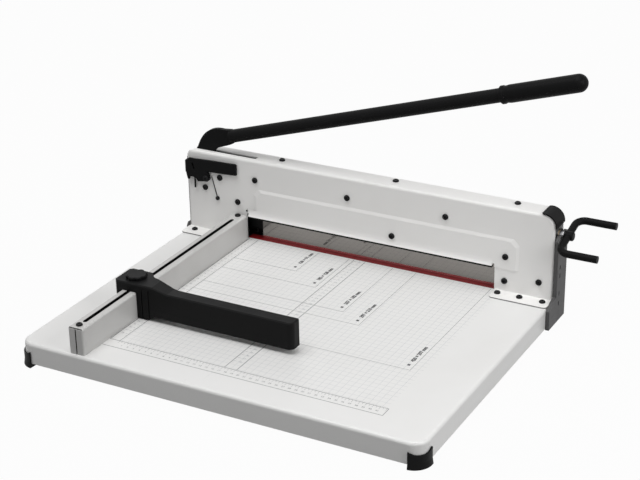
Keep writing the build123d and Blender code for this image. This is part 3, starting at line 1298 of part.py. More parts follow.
def all_nodes():
    rear_inset = REAR_FOOT_DIA + 8.0
    return {
        "base_tray": base_tray(),
        "cutting_beam": cutting_beam(),
        "stiffening_ribs": stiffening_ribs(),
        "foot_front_left": corner_foot(False),
        "foot_front_right": corner_foot(True),
        "foot_rear_left": rear_foot(TABLE_LEFT + rear_inset),
        "foot_rear_right": rear_foot(TABLE_RIGHT - rear_inset),
        "cutting_stick": cutting_stick(),
        "front_plate": front_plate(),
        "rear_plate": rear_plate(),
        "left_end_plate": end_plate(-1),
        "right_end_plate": end_plate(1),
        "top_tie_bar": top_tie_bar(),
        "end_cover": end_cover(),
        "left_boot": left_boot(),
        "corner_strap": corner_strap(),
        "front_bolts": front_bolts(),
        "top_bolts": top_bolts(),
        "flange_screws": flange_screws(),
        "table_nuts": table_nuts(),
        "rear_bolts": rear_bolts(),
        "pivot_pin": pivot_pin(),
        "pivot_spacers": pivot_spacers(),
        "hub_guide": hub_guide(),
        "guide_rollers": group([guide_roller(x) for x in ROLLER_PLACES]),
        "clamp_guide_left": clamp_guide_left(),
        "clamp_guide_right": clamp_guide_right(),
        "slider_posts": group([slider_post(x, z) for x, z in POST_BOLTS]),
        "clamp_pad": clamp_pad(),
        "spindle_bush": spindle_bush(),
        "side_fence": side_fence(),
        "fence_screw_front": fence_screw(fence_screw_places()[0]),
        "fence_screw_rear": fence_screw(fence_screw_places()[1]),
        "blade_carriage": blade_carriage(),
        "blade": blade(),
        "blade_bolts": group([blade_bolt(x) for x in BLADE_BOLT_PLACES]),
        "drive_pin": drive_pin(),
        "lever_hub": lever_hub(),
        "pivot_bush": pivot_bush(),
        "lever_tube": lever_tube(),
        "lever_grip": lever_grip(),
        "clamp_plate": clamp_plate(),
        "clamp_stiffener": clamp_stiffener(),
        "clamp_screws": group([clamp_screw(x) for x in CLAMP_SCREW_PLACES]),
        "clamp_pins": group([clamp_pin(x) for x in TAB_PLACES]),
        "clamp_slider": clamp_slider(),
        "slider_nut": slider_nut(),
        "clamp_spindle": clamp_spindle(),
        "clamp_handle": clamp_handle(),
        "latch_bar": latch_bar(),
        "latch_pin": latch_pin(),
        "latch_pivot": latch_pivot(),
        "latch_spring": latch_spring(),
        "anchor_screw": anchor_screw(),
        "gauge_arm": gauge_arm(),
        "gauge_t_nut": gauge_t_nut(),
        "gauge_stud": gauge_stud(),
        "gauge_washer": gauge_washer(),
        "gauge_knob": gauge_knob(),
    }


os.makedirs("parts", exist_ok=True)
for name, shape in all_nodes().items():
    export_step(FRAME_SHIFT * shape, f"parts/{name}.step")
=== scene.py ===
import json
import math
import bmesh
import bpy
from mathutils import Matrix, Vector


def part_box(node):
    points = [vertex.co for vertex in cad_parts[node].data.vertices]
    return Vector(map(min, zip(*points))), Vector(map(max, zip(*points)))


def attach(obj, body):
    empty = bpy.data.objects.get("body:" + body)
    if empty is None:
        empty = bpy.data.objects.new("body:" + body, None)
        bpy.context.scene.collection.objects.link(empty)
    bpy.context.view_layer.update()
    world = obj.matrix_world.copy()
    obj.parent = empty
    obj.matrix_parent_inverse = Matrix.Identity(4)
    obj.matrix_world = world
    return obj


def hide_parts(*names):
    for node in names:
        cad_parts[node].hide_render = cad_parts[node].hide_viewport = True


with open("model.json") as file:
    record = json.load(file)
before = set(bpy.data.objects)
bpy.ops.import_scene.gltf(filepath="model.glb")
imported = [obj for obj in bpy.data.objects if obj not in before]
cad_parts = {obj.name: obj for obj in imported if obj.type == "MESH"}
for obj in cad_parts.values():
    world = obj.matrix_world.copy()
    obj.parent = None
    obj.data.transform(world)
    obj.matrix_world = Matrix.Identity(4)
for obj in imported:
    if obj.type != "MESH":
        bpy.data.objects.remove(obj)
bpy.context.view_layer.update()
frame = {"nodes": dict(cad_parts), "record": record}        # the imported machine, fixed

# The three planes that the print, the rulers and the camera are measured from.
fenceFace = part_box("side_fence")[1].x
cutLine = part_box("blade")[0].y
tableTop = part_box("base_tray")[1].z
mm = 0.001


def atTable(x, y, z=0.0):
    # millimetres from the fence face, the cut line and the table top
    return Vector((fenceFace + x * mm, cutLine + y * mm, tableTop + z * mm))


camera = {"focal": 90.2, "sensor": 36.0, "yaw": -28.7514, "pitch": 24.1653, "roll": -1.0302,
          "place": (1233.53, -2026.76, 1051.70)}


def makeCamera(facts):
    data = bpy.data.cameras.new("camera")
    data.lens, data.sensor_width = facts["focal"], facts["sensor"]
    data.clip_start, data.clip_end = 0.05, 60.0
    seen = bpy.data.objects.new("camera", data)
    bpy.context.scene.collection.objects.link(seen)
    yaw, pitch, roll = (math.radians(facts[key]) for key in ("yaw", "pitch", "roll"))
    ahead = Vector((math.sin(yaw) * math.cos(pitch), math.cos(yaw) * math.cos(pitch),
                    -math.sin(pitch)))
    right = Vector((math.cos(yaw), -math.sin(yaw), 0.0))
    up = right.cross(ahead)
    sideways = math.cos(roll) * right + math.sin(roll) * up
    upwards = -math.sin(roll) * right + math.cos(roll) * up
    turn = Matrix((sideways, upwards, -ahead)).transposed().to_4x4()
    seen.matrix_world = Matrix.Translation(atTable(*facts["place"])) @ turn
    bpy.context.scene.camera = seen


makeCamera(camera)
print("camera placed")


class Wire:
    # one socket that can stand in a sum, so that a mask reads as plain arithmetic;
    # a > b is 1 or 0, and the reflected forms let a number stand first
    def __init__(self, bench, socket):
        self.bench, self.socket = bench, socket

    def sum(self, operation, other=None, flipped=False):
        terms = [self] if other is None else [other, self] if flipped else [self, other]
        return self.bench.add("ShaderNodeMath", {"operation": operation}, dict(enumerate(terms)))

    def __add__(self, other): return self.sum("ADD", other)
    def __radd__(self, other): return self.sum("ADD", other, True)
    def __sub__(self, other): return self.sum("SUBTRACT", other)
    def __rsub__(self, other): return self.sum("SUBTRACT", other, True)
    def __mul__(self, other): return self.sum("MULTIPLY", other)
    def __rmul__(self, other): return self.sum("MULTIPLY", other, True)
    def __gt__(self, other): return self.sum("GREATER_THAN", other)
    def __lt__(self, other): return self.sum("LESS_THAN", other)
    def __abs__(self): return self.sum("ABSOLUTE")


class Bench:
    # one material, with its nodes added by a single method
    def __init__(self, name):
        self.material = bpy.data.materials.new(name)
        self.material.use_nodes = True
        self.tree = self.material.node_tree
        self.shader = self.tree.nodes["Principled BSDF"]
        self.place = self.add("ShaderNodeTexCoord", output="Object")

    def add(self, kind, settings=None, sockets=None, output=0):
        node = self.tree.nodes.new(kind)
        for name, value in (settings or {}).items():
            setattr(node, name, value)
        for name, value in (sockets or {}).items():
            self.feed(node.inputs[name], value)
        return Wire(self, node.outputs[output])

    def feed(self, socket, value):
        if isinstance(value, Wire):
            self.tree.links.new(value.socket, socket)
        elif socket.type == "RGBA":
            socket.default_value = (*value, 1.0)
        else:
            socket.default_value = value

    def axes(self):
        split = self.add("ShaderNodeSeparateXYZ", None, {0: self.place})
        return [Wire(self, socket) for socket in split.socket.node.outputs]

    def stretched(self, stretch):
        return self.add("ShaderNodeVectorMath", {"operation": "MULTIPLY"},
                        {0: self.place, 1: stretch})

    def noise(self, size, detail=3.0, rough=0.5, stretch=(1.0, 1.0, 1.0)):
        # size is the width of one blotch in metres
        return self.add("ShaderNodeTexNoise", None,
                        {"Vector": self.stretched(stretch), "Scale": 1.0 / size,
                         "Detail": detail, "Roughness": rough})

    def fade(self, value, low, high, start=0.0, end=1.0):
        return self.add("ShaderNodeMapRange", {"interpolation_type": "SMOOTHSTEP"},
                        {0: value, 1: low, 2: high, 3: start, 4: end})

    def mixed(self, share, first, second):
        return self.add("ShaderNodeMix", {"data_type": "RGBA"}, {0: share, 6: first, 7: second}, 2)

    def bump(self, height, depth, strength=1.0):
        return self.add("ShaderNodeBump", None,
                        {"Height": height, "Distance": depth, "Strength": strength})

    def done(self, **sockets):
        for name, value in sockets.items():
            self.feed(self.shader.inputs[name.replace("_", " ")], value)
        return self.material


def shaded(colour, factor):
    return tuple(part * factor for part in colour)


whitePaint = {"colour": (0.90, 0.893, 0.88), "dirt": (0.70, 0.68, 0.65), "rough": 0.38,
              "peel": 0.0011, "peelDepth": 0.000035, "cloud": 0.16}
tablePaint = {"colour": (0.82, 0.817, 0.808), "dirt": (0.62, 0.60, 0.57), "rough": 0.36,
              "peel": 0.0011, "peelDepth": 0.000035, "cloud": 0.16}
gridPrint = {"pitch": 0.010, "width": 0.00042, "colour": (0.42, 0.44, 0.46),
             "left": 17.5, "right": 437.0, "rear": -14.0, "front": -402.0}
# painted shade: black strip behind the stick, and left of it up to the fence, where the mouth lies
# in shade; the same black is painted as shade inside the housing and the fence
paintedShade = {"behind": 3.2, "beside": ((-14.5, -3.0), (-15.0, 4.0), (-1.0, 1.0)),
          "colour": (0.006, 0.006, 0.006)}


def powderCoat(bench, facts):
    # orange peel of a sprayed and baked coat, with faint clouding
    peel = bench.noise(facts["peel"], 2.0, 0.45)
    cloud = bench.noise(facts["cloud"], 3.0, 0.55)
    return peel, cloud


# spans in millimetres from the fence face, the cut line and the table top
housing = {"black": (((-111.6, 518.1), (-14.2, 14.2), (-1.0, 133.8)),   # the whole inside: painted shade, coloured black and taken as a black undercoat
                     ((-1.2, -0.8), (-16.1, 0.0), (0.0, 52.0)),         # left cut edge of the mouth, coloured black as painted shade
                     ((-6.0, -0.8), (-15.9, -14.0), (43.0, 52.0))),     # bore of the sight hole, coloured black as painted shade
           "thin": ((-200.0, 700.0), (-60.0, -16.3), (-1.0, 1.7)),      # cut edges of the flanges, darkened as painted contact shadow
           "edge": (0.20, 0.20, 0.20)}


def between(bench, spans):
    # 1 inside a box given by its spans along x, y and z
    mask = 1.0
    for axis, start, (low, high) in zip(bench.axes(), atTable(0, 0), spans):
        mask = (axis > start + low * mm) * (axis < start + high * mm) * mask
    return mask


def makeWhitePaint():
    bench = Bench("whitePaint")
    peel, cloud = powderCoat(bench, whitePaint)
    speck = bench.noise(0.004, 4.0, 0.6)
    soil = bench.fade(cloud, 0.50, 0.80) * 0.12 + bench.fade(speck, 0.72, 0.78) * 0.25
    coat = bench.mixed(soil, whitePaint["colour"], whitePaint["dirt"])
    # painted contact shadow: the flanges' cut edges take the dark edge colour
    edged = bench.mixed(between(bench, housing["thin"]), coat, housing["edge"])
    # painted shade: the inside, the mouth's left cut edge and the sight hole's bore are coloured
    # black
    black = 0.0
    for spans in housing["black"]:
        black = between(bench, spans).sum("MAXIMUM", black)
    colour = bench.mixed(black, edged, paintedShade["colour"])
    rough = whitePaint["rough"] + (cloud - 0.5) * 0.18
    return bench.done(Base_Color=colour, Roughness=rough,
                      Normal=bench.bump(peel, whitePaint["peelDepth"], 0.35))


def makeTablePaint():
    # the same coat, with a faint printed grid of one centimetre squares
    bench = Bench("tablePaint")
    peel, cloud = powderCoat(bench, tablePaint)
    x, y, z = bench.axes()
    pitch, width = gridPrint["pitch"], gridPrint["width"]
    left, right = (fenceFace + gridPrint[key] * mm for key in ("left", "right"))
    front, rear = (cutLine + gridPrint[key] * mm for key in ("front", "rear"))
    lines = []
    for along, start in ((x, fenceFace), (y, cutLine)):
        lines.append((along - start).sum("PINGPONG", pitch / 2) < width / 2)
    onLine = lines[0].sum("MAXIMUM", lines[1])
    field = (x > left) * (x < right) * (y > front) * (y < rear) * (z > tableTop - 0.0005)
    ink = onLine * field * bench.fade(bench.noise(0.002, 2.0), 0.2, 0.6, 0.45, 0.75)
    scuff = bench.noise(0.0035, 3.0, 0.6, (1.0, 0.06, 1.0))
    soil = bench.fade(cloud, 0.48, 0.80) * 0.12 + bench.fade(scuff, 0.66, 0.78) * 0.10
    paint = bench.mixed(soil, tablePaint["colour"], tablePaint["dirt"])
    printed = bench.mixed(ink, paint, gridPrint["colour"])
    # painted shade: black behind the stick and beside it up to the fence, where the mouth lies in
    # shade
    black = (y > cutLine + paintedShade["behind"] * mm).sum("MAXIMUM", between(bench, paintedShade["beside"]))
    colour = bench.mixed(black, printed, paintedShade["colour"])
    rough = tablePaint["rough"] + (cloud - 0.5) * 0.2 - bench.fade(scuff, 0.6, 0.8) * 0.12
    return bench.done(Base_Color=colour, Roughness=rough,
                      Normal=bench.bump(peel, tablePaint["peelDepth"], 0.3))


fencePaint = {"colour": (0.56, 0.555, 0.545), "dirt": (0.43, 0.415, 0.40), "rough": 0.34,
              "peel": 0.0010, "peelDepth": 0.00003, "cloud": 0.10, "rub": (0.0006, 0.03),
              "skin": (0.0017, 0.0004, 0.0004)}


def makeFencePaint():
    # the greyer coat of the fence, rubbed in fine lines where sheets and the gauge slide
    bench = Bench("fencePaint")
    peel, cloud = powderCoat(bench, fencePaint)
    thin, long = fencePaint["rub"]
    lines = bench.noise(thin, 3.0, 0.6, (1.0, thin / long, 1.0))
    soil = bench.fade(cloud, 0.45, 0.80) * 0.3 + bench.fade(lines, 0.55, 0.80) * 0.25
    coat = bench.mixed(soil, fencePaint["colour"], fencePaint["dirt"])
    # painted shade: the inside of the folded fence, seen through its top slot and end seam, is
    # coloured black
    low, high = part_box("side_fence")
    inside = 1.0
    for axis, near, far, skin in zip(bench.axes(), low, high, fencePaint["skin"]):
        inside = (axis > near + skin) * (axis < far - skin) * inside
    colour = bench.mixed(inside, coat, paintedShade["colour"])
    rough = fencePaint["rough"] + (cloud - 0.5) * 0.2 - (lines - 0.5) * 0.12
    return bench.done(Base_Color=colour, Roughness=rough,
                      Normal=bench.bump(peel, fencePaint["peelDepth"], 0.3))


blackPaint = {"colour": (0.007, 0.007, 0.0072), "worn": (0.022, 0.022, 0.0225), "rough": 0.46,
              "peel": 0.0009, "peelDepth": 0.00005, "cloud": 0.05, "gloss": 0.05}


def makeBlackPaint():
    bench = Bench("blackPaint")
    peel, cloud = powderCoat(bench, blackPaint)
    rub = bench.noise(0.006, 5.0, 0.65, (0.25, 1.0, 1.0))
    wear = bench.fade(rub, 0.62, 0.80) * 0.5
    colour = bench.mixed(wear, blackPaint["colour"], blackPaint["worn"])
    return bench.done(Base_Color=colour, Roughness=blackPaint["rough"] + (cloud - 0.5) * 0.2,
                      Specular_IOR_Level=blackPaint["gloss"],
                      Normal=bench.bump(peel, blackPaint["peelDepth"], 0.5))


plastics = {"blackPlastic": {"colour": (0.007, 0.007, 0.0072), "rough": 0.46, "grain": 0.0007,
                             "gloss": 0.08},
            "darkPlastic": {"colour": (0.085, 0.084, 0.085), "rough": 0.55, "grain": 0.0009,
                            "gloss": 0.25},
            "gripPlastic": {"colour": (0.006, 0.006, 0.0062), "rough": 0.42, "grain": 0.0010,
                            "gloss": 0.05},
            "blackRubber": {"colour": (0.010, 0.0097, 0.0095), "rough": 0.62, "grain": 0.0013,
                            "gloss": 0.10},
            "nylon": {"colour": (0.70, 0.69, 0.64), "rough": 0.45, "grain": 0.0012, "gloss": 0.5}}


def makePlastic(name):
    # spark-eroded mould grain, slightly polished where hands and paper rub it
    facts = plastics[name]
    bench = Bench(name)
    grain = bench.add("ShaderNodeTexVoronoi", {"feature": "SMOOTH_F1"},
                      {"Vector": bench.place, "Scale": 1.0 / facts["grain"], "Smoothness": 0.6})
    cloud = bench.noise(0.03, 4.0, 0.6)
    dust = bench.fade(bench.noise(0.010, 5.0, 0.7), 0.60, 0.85) * 0.35
    dusty = tuple(part * 1.2 + 0.010 for part in facts["colour"])
    colour = bench.mixed(dust, facts["colour"], dusty)
    return bench.done(Base_Color=colour, Roughness=facts["rough"] + (cloud - 0.5) * 0.25,
                      Specular_IOR_Level=facts["gloss"],
                      Normal=bench.bump(grain, facts["grain"] * 0.06, 0.5))


redStick = {"colour": (0.22, 0.008, 0.011), "cut": (0.30, 0.035, 0.035), "rough": 0.45,
            "gloss": 0.18, "line": 0.0006}


def makeRedStick():
    # soft plastic, scored along the cut line by the knife
    bench = Bench("redStick")
    y = bench.axes()[1]
    fray = bench.noise(0.0016, 4.0, 0.7, (0.12, 1.0, 1.0))
    offLine = abs(y - (cutLine + 0.0002) + (fray - 0.5) * 0.0008)
    line = bench.fade(offLine, 0.0, redStick["line"], 1.0, 0.0)
    cloud = bench.noise(0.02, 4.0, 0.6, (0.3, 1.0, 1.0))
    colour = bench.mixed(line * 0.7 + bench.fade(cloud, 0.6, 0.8) * 0.15, redStick["colour"],
                         redStick["cut"])
    height = 0.5 * fray - line
    return bench.done(Base_Color=colour, Roughness=redStick["rough"] + cloud * 0.15,
                      Specular_IOR_Level=redStick["gloss"],
                      Normal=bench.bump(height, 0.0003, 0.4))


metals = {"groundSteel": {"colour": (0.52, 0.52, 0.53), "rough": 0.30, "line": (0.0004, 0.02),
                          "depth": 0.00002},
          # polished steel: a brighter lower band, painted reflection of the red stick
          "polishedSteel": {"colour": (0.29, 0.275, 0.26), "rough": 0.09, "line": (0.0006, 0.05),
                            "depth": 0.00001, "edge": (4.9, (0.90, 0.90, 0.88))},
          "bronze": {"colour": (0.52, 0.36, 0.16), "rough": 0.35, "line": (0.0004, 0.01),
                     "depth": 0.00001}}


def makeMetal(name):
    # fine drawn or ground lines along the machine, with patches of handling haze
    facts = metals[name]
    bench = Bench(name)
    thin, long = facts["line"]
    lines = bench.noise(thin, 3.0, 0.6, (thin / long, 1.0, 1.0))
    haze = bench.noise(0.03, 4.0, 0.6)
    tone = bench.fade(lines, 0.25, 0.75)
    colour = bench.mixed(tone * 0.6 + haze * 0.25, shaded(facts["colour"], 0.82), facts["colour"])
    if "edge" in facts:
        # the lower edge, brighter: a painted reflection that brightens the stick's mirrored red,
        # also taken as wear from the paper
        high, shade = facts["edge"]
        z = bench.axes()[2]
        worn = bench.fade(z, tableTop + (high - 0.5) * mm, tableTop + high * mm, 1.0, 0.0)
        colour = bench.mixed(worn, colour, shade)
    rough = facts["rough"] + (haze - 0.5) * 0.16 + (lines - 0.5) * 0.10
    return bench.done(Base_Color=colour, Metallic=1.0, Roughness=rough,
                      Normal=bench.bump(lines, facts["depth"], 0.3))


blackScrew = {"colour": (0.009, 0.009, 0.0095), "bright": (0.05, 0.05, 0.05), "rough": 0.36,
              "gloss": 0.12}


def makeBlackScrew():
    # black oxide, a little worn
    bench = Bench("blackScrew")
    wear = bench.noise(0.0012, 4.0, 0.7)
    colour = bench.mixed(bench.fade(wear, 0.62, 0.78) * 0.5, blackScrew["colour"],
                         blackScrew["bright"])
    return bench.done(Base_Color=colour, Roughness=blackScrew["rough"] + wear * 0.15,
                      Specular_IOR_Level=blackScrew["gloss"],
                      Normal=bench.bump(wear, 0.00003, 0.3))


inks = {"printInk": {"colour": (0.14, 0.145, 0.15), "thin": (0.34, 0.35, 0.36)},
        "faintInk": {"colour": (0.38, 0.39, 0.40), "thin": (0.52, 0.53, 0.54)},
        "labelInk": {"colour": (0.03, 0.03, 0.034), "thin": (0.11, 0.11, 0.12)}}


def makeInk(name):
    # screen print, a little starved in places
    bench = Bench(name)
    patch = bench.noise(0.0009, 3.0, 0.6)
    colour = bench.mixed(bench.fade(patch, 0.55, 0.75), inks[name]["colour"], inks[name]["thin"])
    return bench.done(Base_Color=colour, Roughness=0.5 + (patch - 0.5) * 0.2)


made = {"whitePaint": makeWhitePaint(), "tablePaint": makeTablePaint(),
        "fencePaint": makeFencePaint(),
        "blackPaint": makeBlackPaint(), "redStick": makeRedStick(), "blackScrew": makeBlackScrew()}
made.update({name: makePlastic(name) for name in plastics})
made.update({name: makeMetal(name) for name in metals})
made.update({name: makeInk(name) for name in inks})

slotFinish = {"white_paint": "whitePaint", "black_paint": "blackPaint",
              "black_plastic": "blackPlastic", "dark_plastic": "darkPlastic",
              "black_rubber": "blackRubber", "red_plastic": "redStick",
              "fence_aluminium": "fencePaint", "steel": "groundSteel",
              "polished_steel": "polishedSteel", "black_screw": "blackScrew",
              "bronze": "bronze", "nylon": "nylon"}
# the blade takes the black oxide finish as painted shade, for the dark it lies in
nodeFinish = {"base_tray": "tablePaint", "lever_grip": "gripPlastic", "blade": "blackScrew",
              "blade_carriage": "blackPaint", "latch_pin": "blackScrew"}    # before the slot's own


def dressNodes():
    slots = {row["node"]: row["material_slot"] for row in frame["record"]["subparts"]}
    for node, shown in frame["nodes"].items():
        finish = made[nodeFinish.get(node, slotFinish[slots[node]])]
        shown.data.materials.clear()
        shown.data.materials.append(finish)


dressNodes()
print("finishes made:", len(made))


def newPiece(name, mesh, body, finish):
    piece = bpy.data.objects.new(name, mesh)
    bpy.context.scene.collection.objects.link(piece)
    piece.data.materials.clear()
    piece.data.materials.append(made[finish])
    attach(piece, body)
    return piece


def roundOff(piece, width):
    soften = piece.modifiers.new("soften", "BEVEL")
    soften.width, soften.segments, soften.limit_method = width * mm, 2, "ANGLE"
    soften.angle_limit = math.radians(40)


def meshFrom(build, name):
    work = bmesh.new()
    build(work)
    mesh = bpy.data.meshes.new(name)
    work.to_mesh(mesh)
    work.free()
    return mesh


def addSlab(work, low, high):
    # thin printed bar with a top and four sides
    corners = [work.verts.new((x, y, z)) for z in (low.z, high.z)
               for x, y in ((low.x, low.y), (high.x, low.y), (high.x, high.y), (low.x, high.y))]
    work.faces.new(corners[4:])
    for first in range(4):
        second = (first + 1) % 4
        work.faces.new((corners[first], corners[second], corners[second + 4], corners[first + 4]))


# film, gap and over: height of the ink, of its underside, and of a line over another
tablePrint = {"film": 0.06, "gap": 0.01, "over": 0.004,
              "line": 0.55, "bold": 0.8, "edgeLine": 1.28, "tick": 0.35,
              "sheets": ((128, 91), (182, 128), (257, 182), (297, 210), (420, 297)),
              "side": 17.5, "border": 1.2, "middle": (190.0, 209.0), "ruler": (-402.8, -421.6),
              "rulerLeft": 0.5, "rulerRight": 440.0, "rear": -16.0,
              "zero": 18.0, "lastMark": 422, "frontTicks": {10: 6.0, 5: 4.2},
              "firstRow": 2, "lastRow": 38, "sideTicks": {0.0: 6.0, 5.0: 3.5},
              "labelHeight": 5.6, "labelBold": 0.42, "labelInset": 8.0, "labelMiddle": 47.0,
              "markStart": 11.0, "markSize": 4.2,
              "digitHeight": 3.4, "frontDigits": (1, 41, -11.0), "sideDigits": (-11.0, 12.0)}


def printedLine(work, x0, x1, y0, y1, lift=0.0):
    facts = tablePrint
    addSlab(work, atTable(min(x0, x1), min(y0, y1), facts["gap"]),
            atTable(max(x0, x1), max(y0, y1), facts["film"] + lift))


def acrossLine(work, x0, x1, y, width, lift=0.0):
    printedLine(work, x0, x1, y - width / 2, y + width / 2, lift)


def alongLine(work, x, y0, y1, width, lift=0.0):
    printedLine(work, x - width / 2, x + width / 2, y0, y1, lift)


def drawSheets(work):
    facts = tablePrint
    for width, depth in facts["sheets"]:
        acrossLine(work, facts["side"], width, -depth, facts["line"], facts["over"])
        alongLine(work, width, facts["rear"], -depth, facts["line"])


def drawRulers(work):
    facts = tablePrint
    inner, outer = facts["ruler"]
    left, right, rear = facts["rulerLeft"], facts["rulerRight"], facts["rear"]
    topmost = 2 * facts["over"]
    for y in (inner, outer):
        acrossLine(work, left, right, y, facts["bold"], facts["over"])
    alongLine(work, right, inner, outer, facts["bold"])
    alongLine(work, facts["border"], rear, inner, facts["edgeLine"])
    for x in (facts["side"], *facts["middle"]):
        alongLine(work, x, rear, inner, facts["bold"])
    for step in range(0, facts["lastMark"], 5):
        length = facts["frontTicks"][10 if step % 10 == 0 else 5]
        alongLine(work, facts["zero"] + step, inner, inner - length, facts["tick"], topmost)
    for step in range(facts["firstRow"], facts["lastRow"] + 1):
        for offset, length in facts["sideTicks"].items():
            for start, end in ((facts["side"] - length, facts["side"]),
                               (facts["middle"][0], facts["middle"][0] + length)):
                acrossLine(work, start, end, -10.0 * step - offset, facts["tick"], topmost)


def drawNumber(work, text, height, x, y, turn=0, bold=0.0):
    # set a number flat on the table, its middle at (x, y)
    line = bpy.data.curves.new("number", "FONT")
    line.body, line.size, line.resolution_u = text, height * mm * 1.4, 2
    line.align_x, line.align_y = "CENTER", "CENTER"
    line.extrude, line.offset = 0.00001, bold * mm
    shown = bpy.data.objects.new("number", line)
    bpy.context.scene.collection.objects.link(shown)
    bpy.context.view_layer.update()
    graph = bpy.context.evaluated_depsgraph_get()
    mesh = bpy.data.meshes.new_from_object(shown.evaluated_get(graph))
    mesh.transform(Matrix.Translation(atTable(x, y, tablePrint["film"]))
                   @ Matrix.Rotation(math.radians(turn), 4, "Z"))
    work.from_mesh(mesh)
    bpy.data.objects.remove(shown)
    bpy.data.curves.remove(line)
    bpy.data.meshes.remove(mesh)


def drawLabels(work):
    facts = tablePrint
    for width, depth in facts["sheets"]:
        x = width - facts["labelInset"]
        drawNumber(work, f"{width} × {depth} mm", facts["labelHeight"], x,
                   facts["labelMiddle"] - depth, 90, facts["labelBold"])
        start = facts["markStart"] - depth
        alongLine(work, x, start, start + facts["markSize"], facts["markSize"])


def drawFrontDigits(work):
    facts = tablePrint
    first, last, drop = facts["frontDigits"]
    for step in range(first, last + 1):
        drawNumber(work, str(step), facts["digitHeight"], facts["zero"] + 10 * step,
                   facts["ruler"][0] + drop)


def drawSideDigits(work):
    facts = tablePrint
    left, right = facts["sideDigits"]
    for step in range(facts["firstRow"], facts["lastRow"] + 1):
        for x in (facts["side"] + left, facts["middle"][0] + right):
            drawNumber(work, str(step), facts["digitHeight"], x, -10.0 * step)


shoe = {"corner": 22.0, "left": -112.0, "right": 518.0, "front": -467.0, "ground": -38.0,
        "rim": -32.0, "gap": 0.15, "wall": 2.5, "flare": 1.4, "flareTop": -29.0, "top": -13.0,
        "dip": 4.4, "dipShape": 2.4, "steps": 28, "startAngle": -86.0, "run": 4.0, "round": 0.5}


def drawShoe(work, side):
    # moulded shoe round a front corner: a wall with a dipped upper edge on a solid sole
    facts = shoe
    edge = facts["right"] if side > 0 else facts["left"]
    middle = Vector((edge - side * facts["corner"], facts["front"] + facts["corner"], 0.0))
    angles = [facts["startAngle"] * (1.0 - step / (facts["steps"] - 1))
              for step in range(facts["steps"])]
    stations = [(angle, 0.0) for angle in angles] + [(0.0, facts["run"])]
    rings = []
    for step, (angle, run) in enumerate(stations):
        share = 2.0 * step / (len(stations) - 1) - 1.0
        top = facts["top"] - facts["dip"] * (1.0 - abs(share) ** facts["dipShape"])
        section = ((facts["wall"] + facts["flare"], facts["ground"]),
                   (facts["wall"], facts["flareTop"]), (facts["wall"], top),
                   (facts["gap"], top), (facts["gap"], facts["rim"]))
        ring = []
        for grow, z in section:
            reach = facts["corner"] + grow
            x = middle.x + side * reach * math.cos(math.radians(angle))
            y = middle.y + reach * math.sin(math.radians(angle)) + run
            ring.append(work.verts.new(atTable(x, y, z)))
        rings.append(ring)
    for ring, after in zip(rings, rings[1:]):
        for low, high in ((0, 1), (1, 2), (2, 3), (3, 4)):
            work.faces.new((ring[low], after[low], after[high], ring[high]))
    inner = [[work.verts.new(atTable(middle.x, middle.y + run, z))
              for z in (facts["rim"], facts["ground"])] for run in (0.0, facts["run"])]
    for ring, (high, low) in zip((rings[0], rings[-1]), inner):
        work.faces.new(ring + [high, low])
    work.faces.new([ring[4] for ring in rings] + [inner[1][0], inner[0][0]])
    work.faces.new([ring[0] for ring in rings] + [inner[1][1], inner[0][1]])
    work.faces.new((inner[0][0], inner[1][0], inner[1][1], inner[0][1]))
    bmesh.ops.recalc_face_normals(work, faces=work.faces)


for side, node in ((1, "foot_front_right"), (-1, "foot_front_left")):
    piece = newPiece(node + "_shoe", meshFrom(lambda work: drawShoe(work, side), node + "_shoe"),
                     "machine", "blackPlastic")
    roundOff(piece, shoe["round"])
    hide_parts(node)
print("front shoes moulded")


# sections of the mouth's upper edge, as (y, z) in millimetres
lip = {"left": 2.6, "right": 421.4,
       "flare": ((-17.61, 51.0), (-17.8, 48.5), (-18.15, 46.2), (-18.7, 44.1), (-19.4, 42.3),
                 (-20.1, 41.1), (-20.5, 40.6), (-20.4, 40.1), (-20.0, 39.95), (-17.61, 39.95)),
       # the black strip under the lip is a dark piece put in the shadow gap there, taken as a
       # rubber edge trim
       "shadowSeal": ((-19.7, 39.93), (-19.7, 37.4), (-19.3, 37.0), (-14.4, 37.0), (-14.4, 39.93))}


def drawAlong(work, profile, left, right):
    # closed bar of one section, drawn through (y, z), from left to right
    ends = [[work.verts.new(atTable(x, y, z)) for y, z in profile] for x in (left, right)]
    for end in ends:
        work.faces.new(end)
    for first in range(len(profile)):
        second = (first + 1) % len(profile)
        work.faces.new((ends[0][first], ends[0][second], ends[1][second], ends[1][first]))
    bmesh.ops.recalc_face_normals(work, faces=work.faces)


for part, slot, finish in (("flare", "white_paint", "whitePaint"),
                           ("shadowSeal", "black_rubber", "blackRubber")):
    name = "mouth_" + part
    bar = meshFrom(lambda work: drawAlong(work, lip[part], lip["left"], lip["right"]), name)
    newPiece(name, bar, "machine", finish)
print("mouth edged")


# painted shade: the black flap shuts out the outlet's light so the mouth reads dark
# two heights of the lower edge: in front, and behind where the table rounds off
flap = {"left": -0.8, "right": 424.8, "near": 14.3, "far": 15.7, "top": 43.95,
        "low": (-0.45, -1.45), "tabs": 12, "slit": 0.5, "bar": 36.0, "toe": -20.6, "toeTop": -0.12}


def flapOutline(low):
    # x and z of one face: the toe under the back sheet, then the tabs
    facts = flap
    pitch, half = (facts["right"] - facts["left"]) / facts["tabs"], facts["slit"] / 2
    outline = [(facts["left"], facts["top"]), (facts["left"], facts["toeTop"]),
               (facts["toe"], facts["toeTop"]), (facts["toe"], low)]
    for tab in range(1, facts["tabs"]):
        slit = facts["left"] + tab * pitch
        outline += [(slit - half, low), (slit - half, facts["bar"]),
                    (slit + half, facts["bar"]), (slit + half, low)]
    return outline + [(facts["right"], low), (facts["right"], facts["top"])]


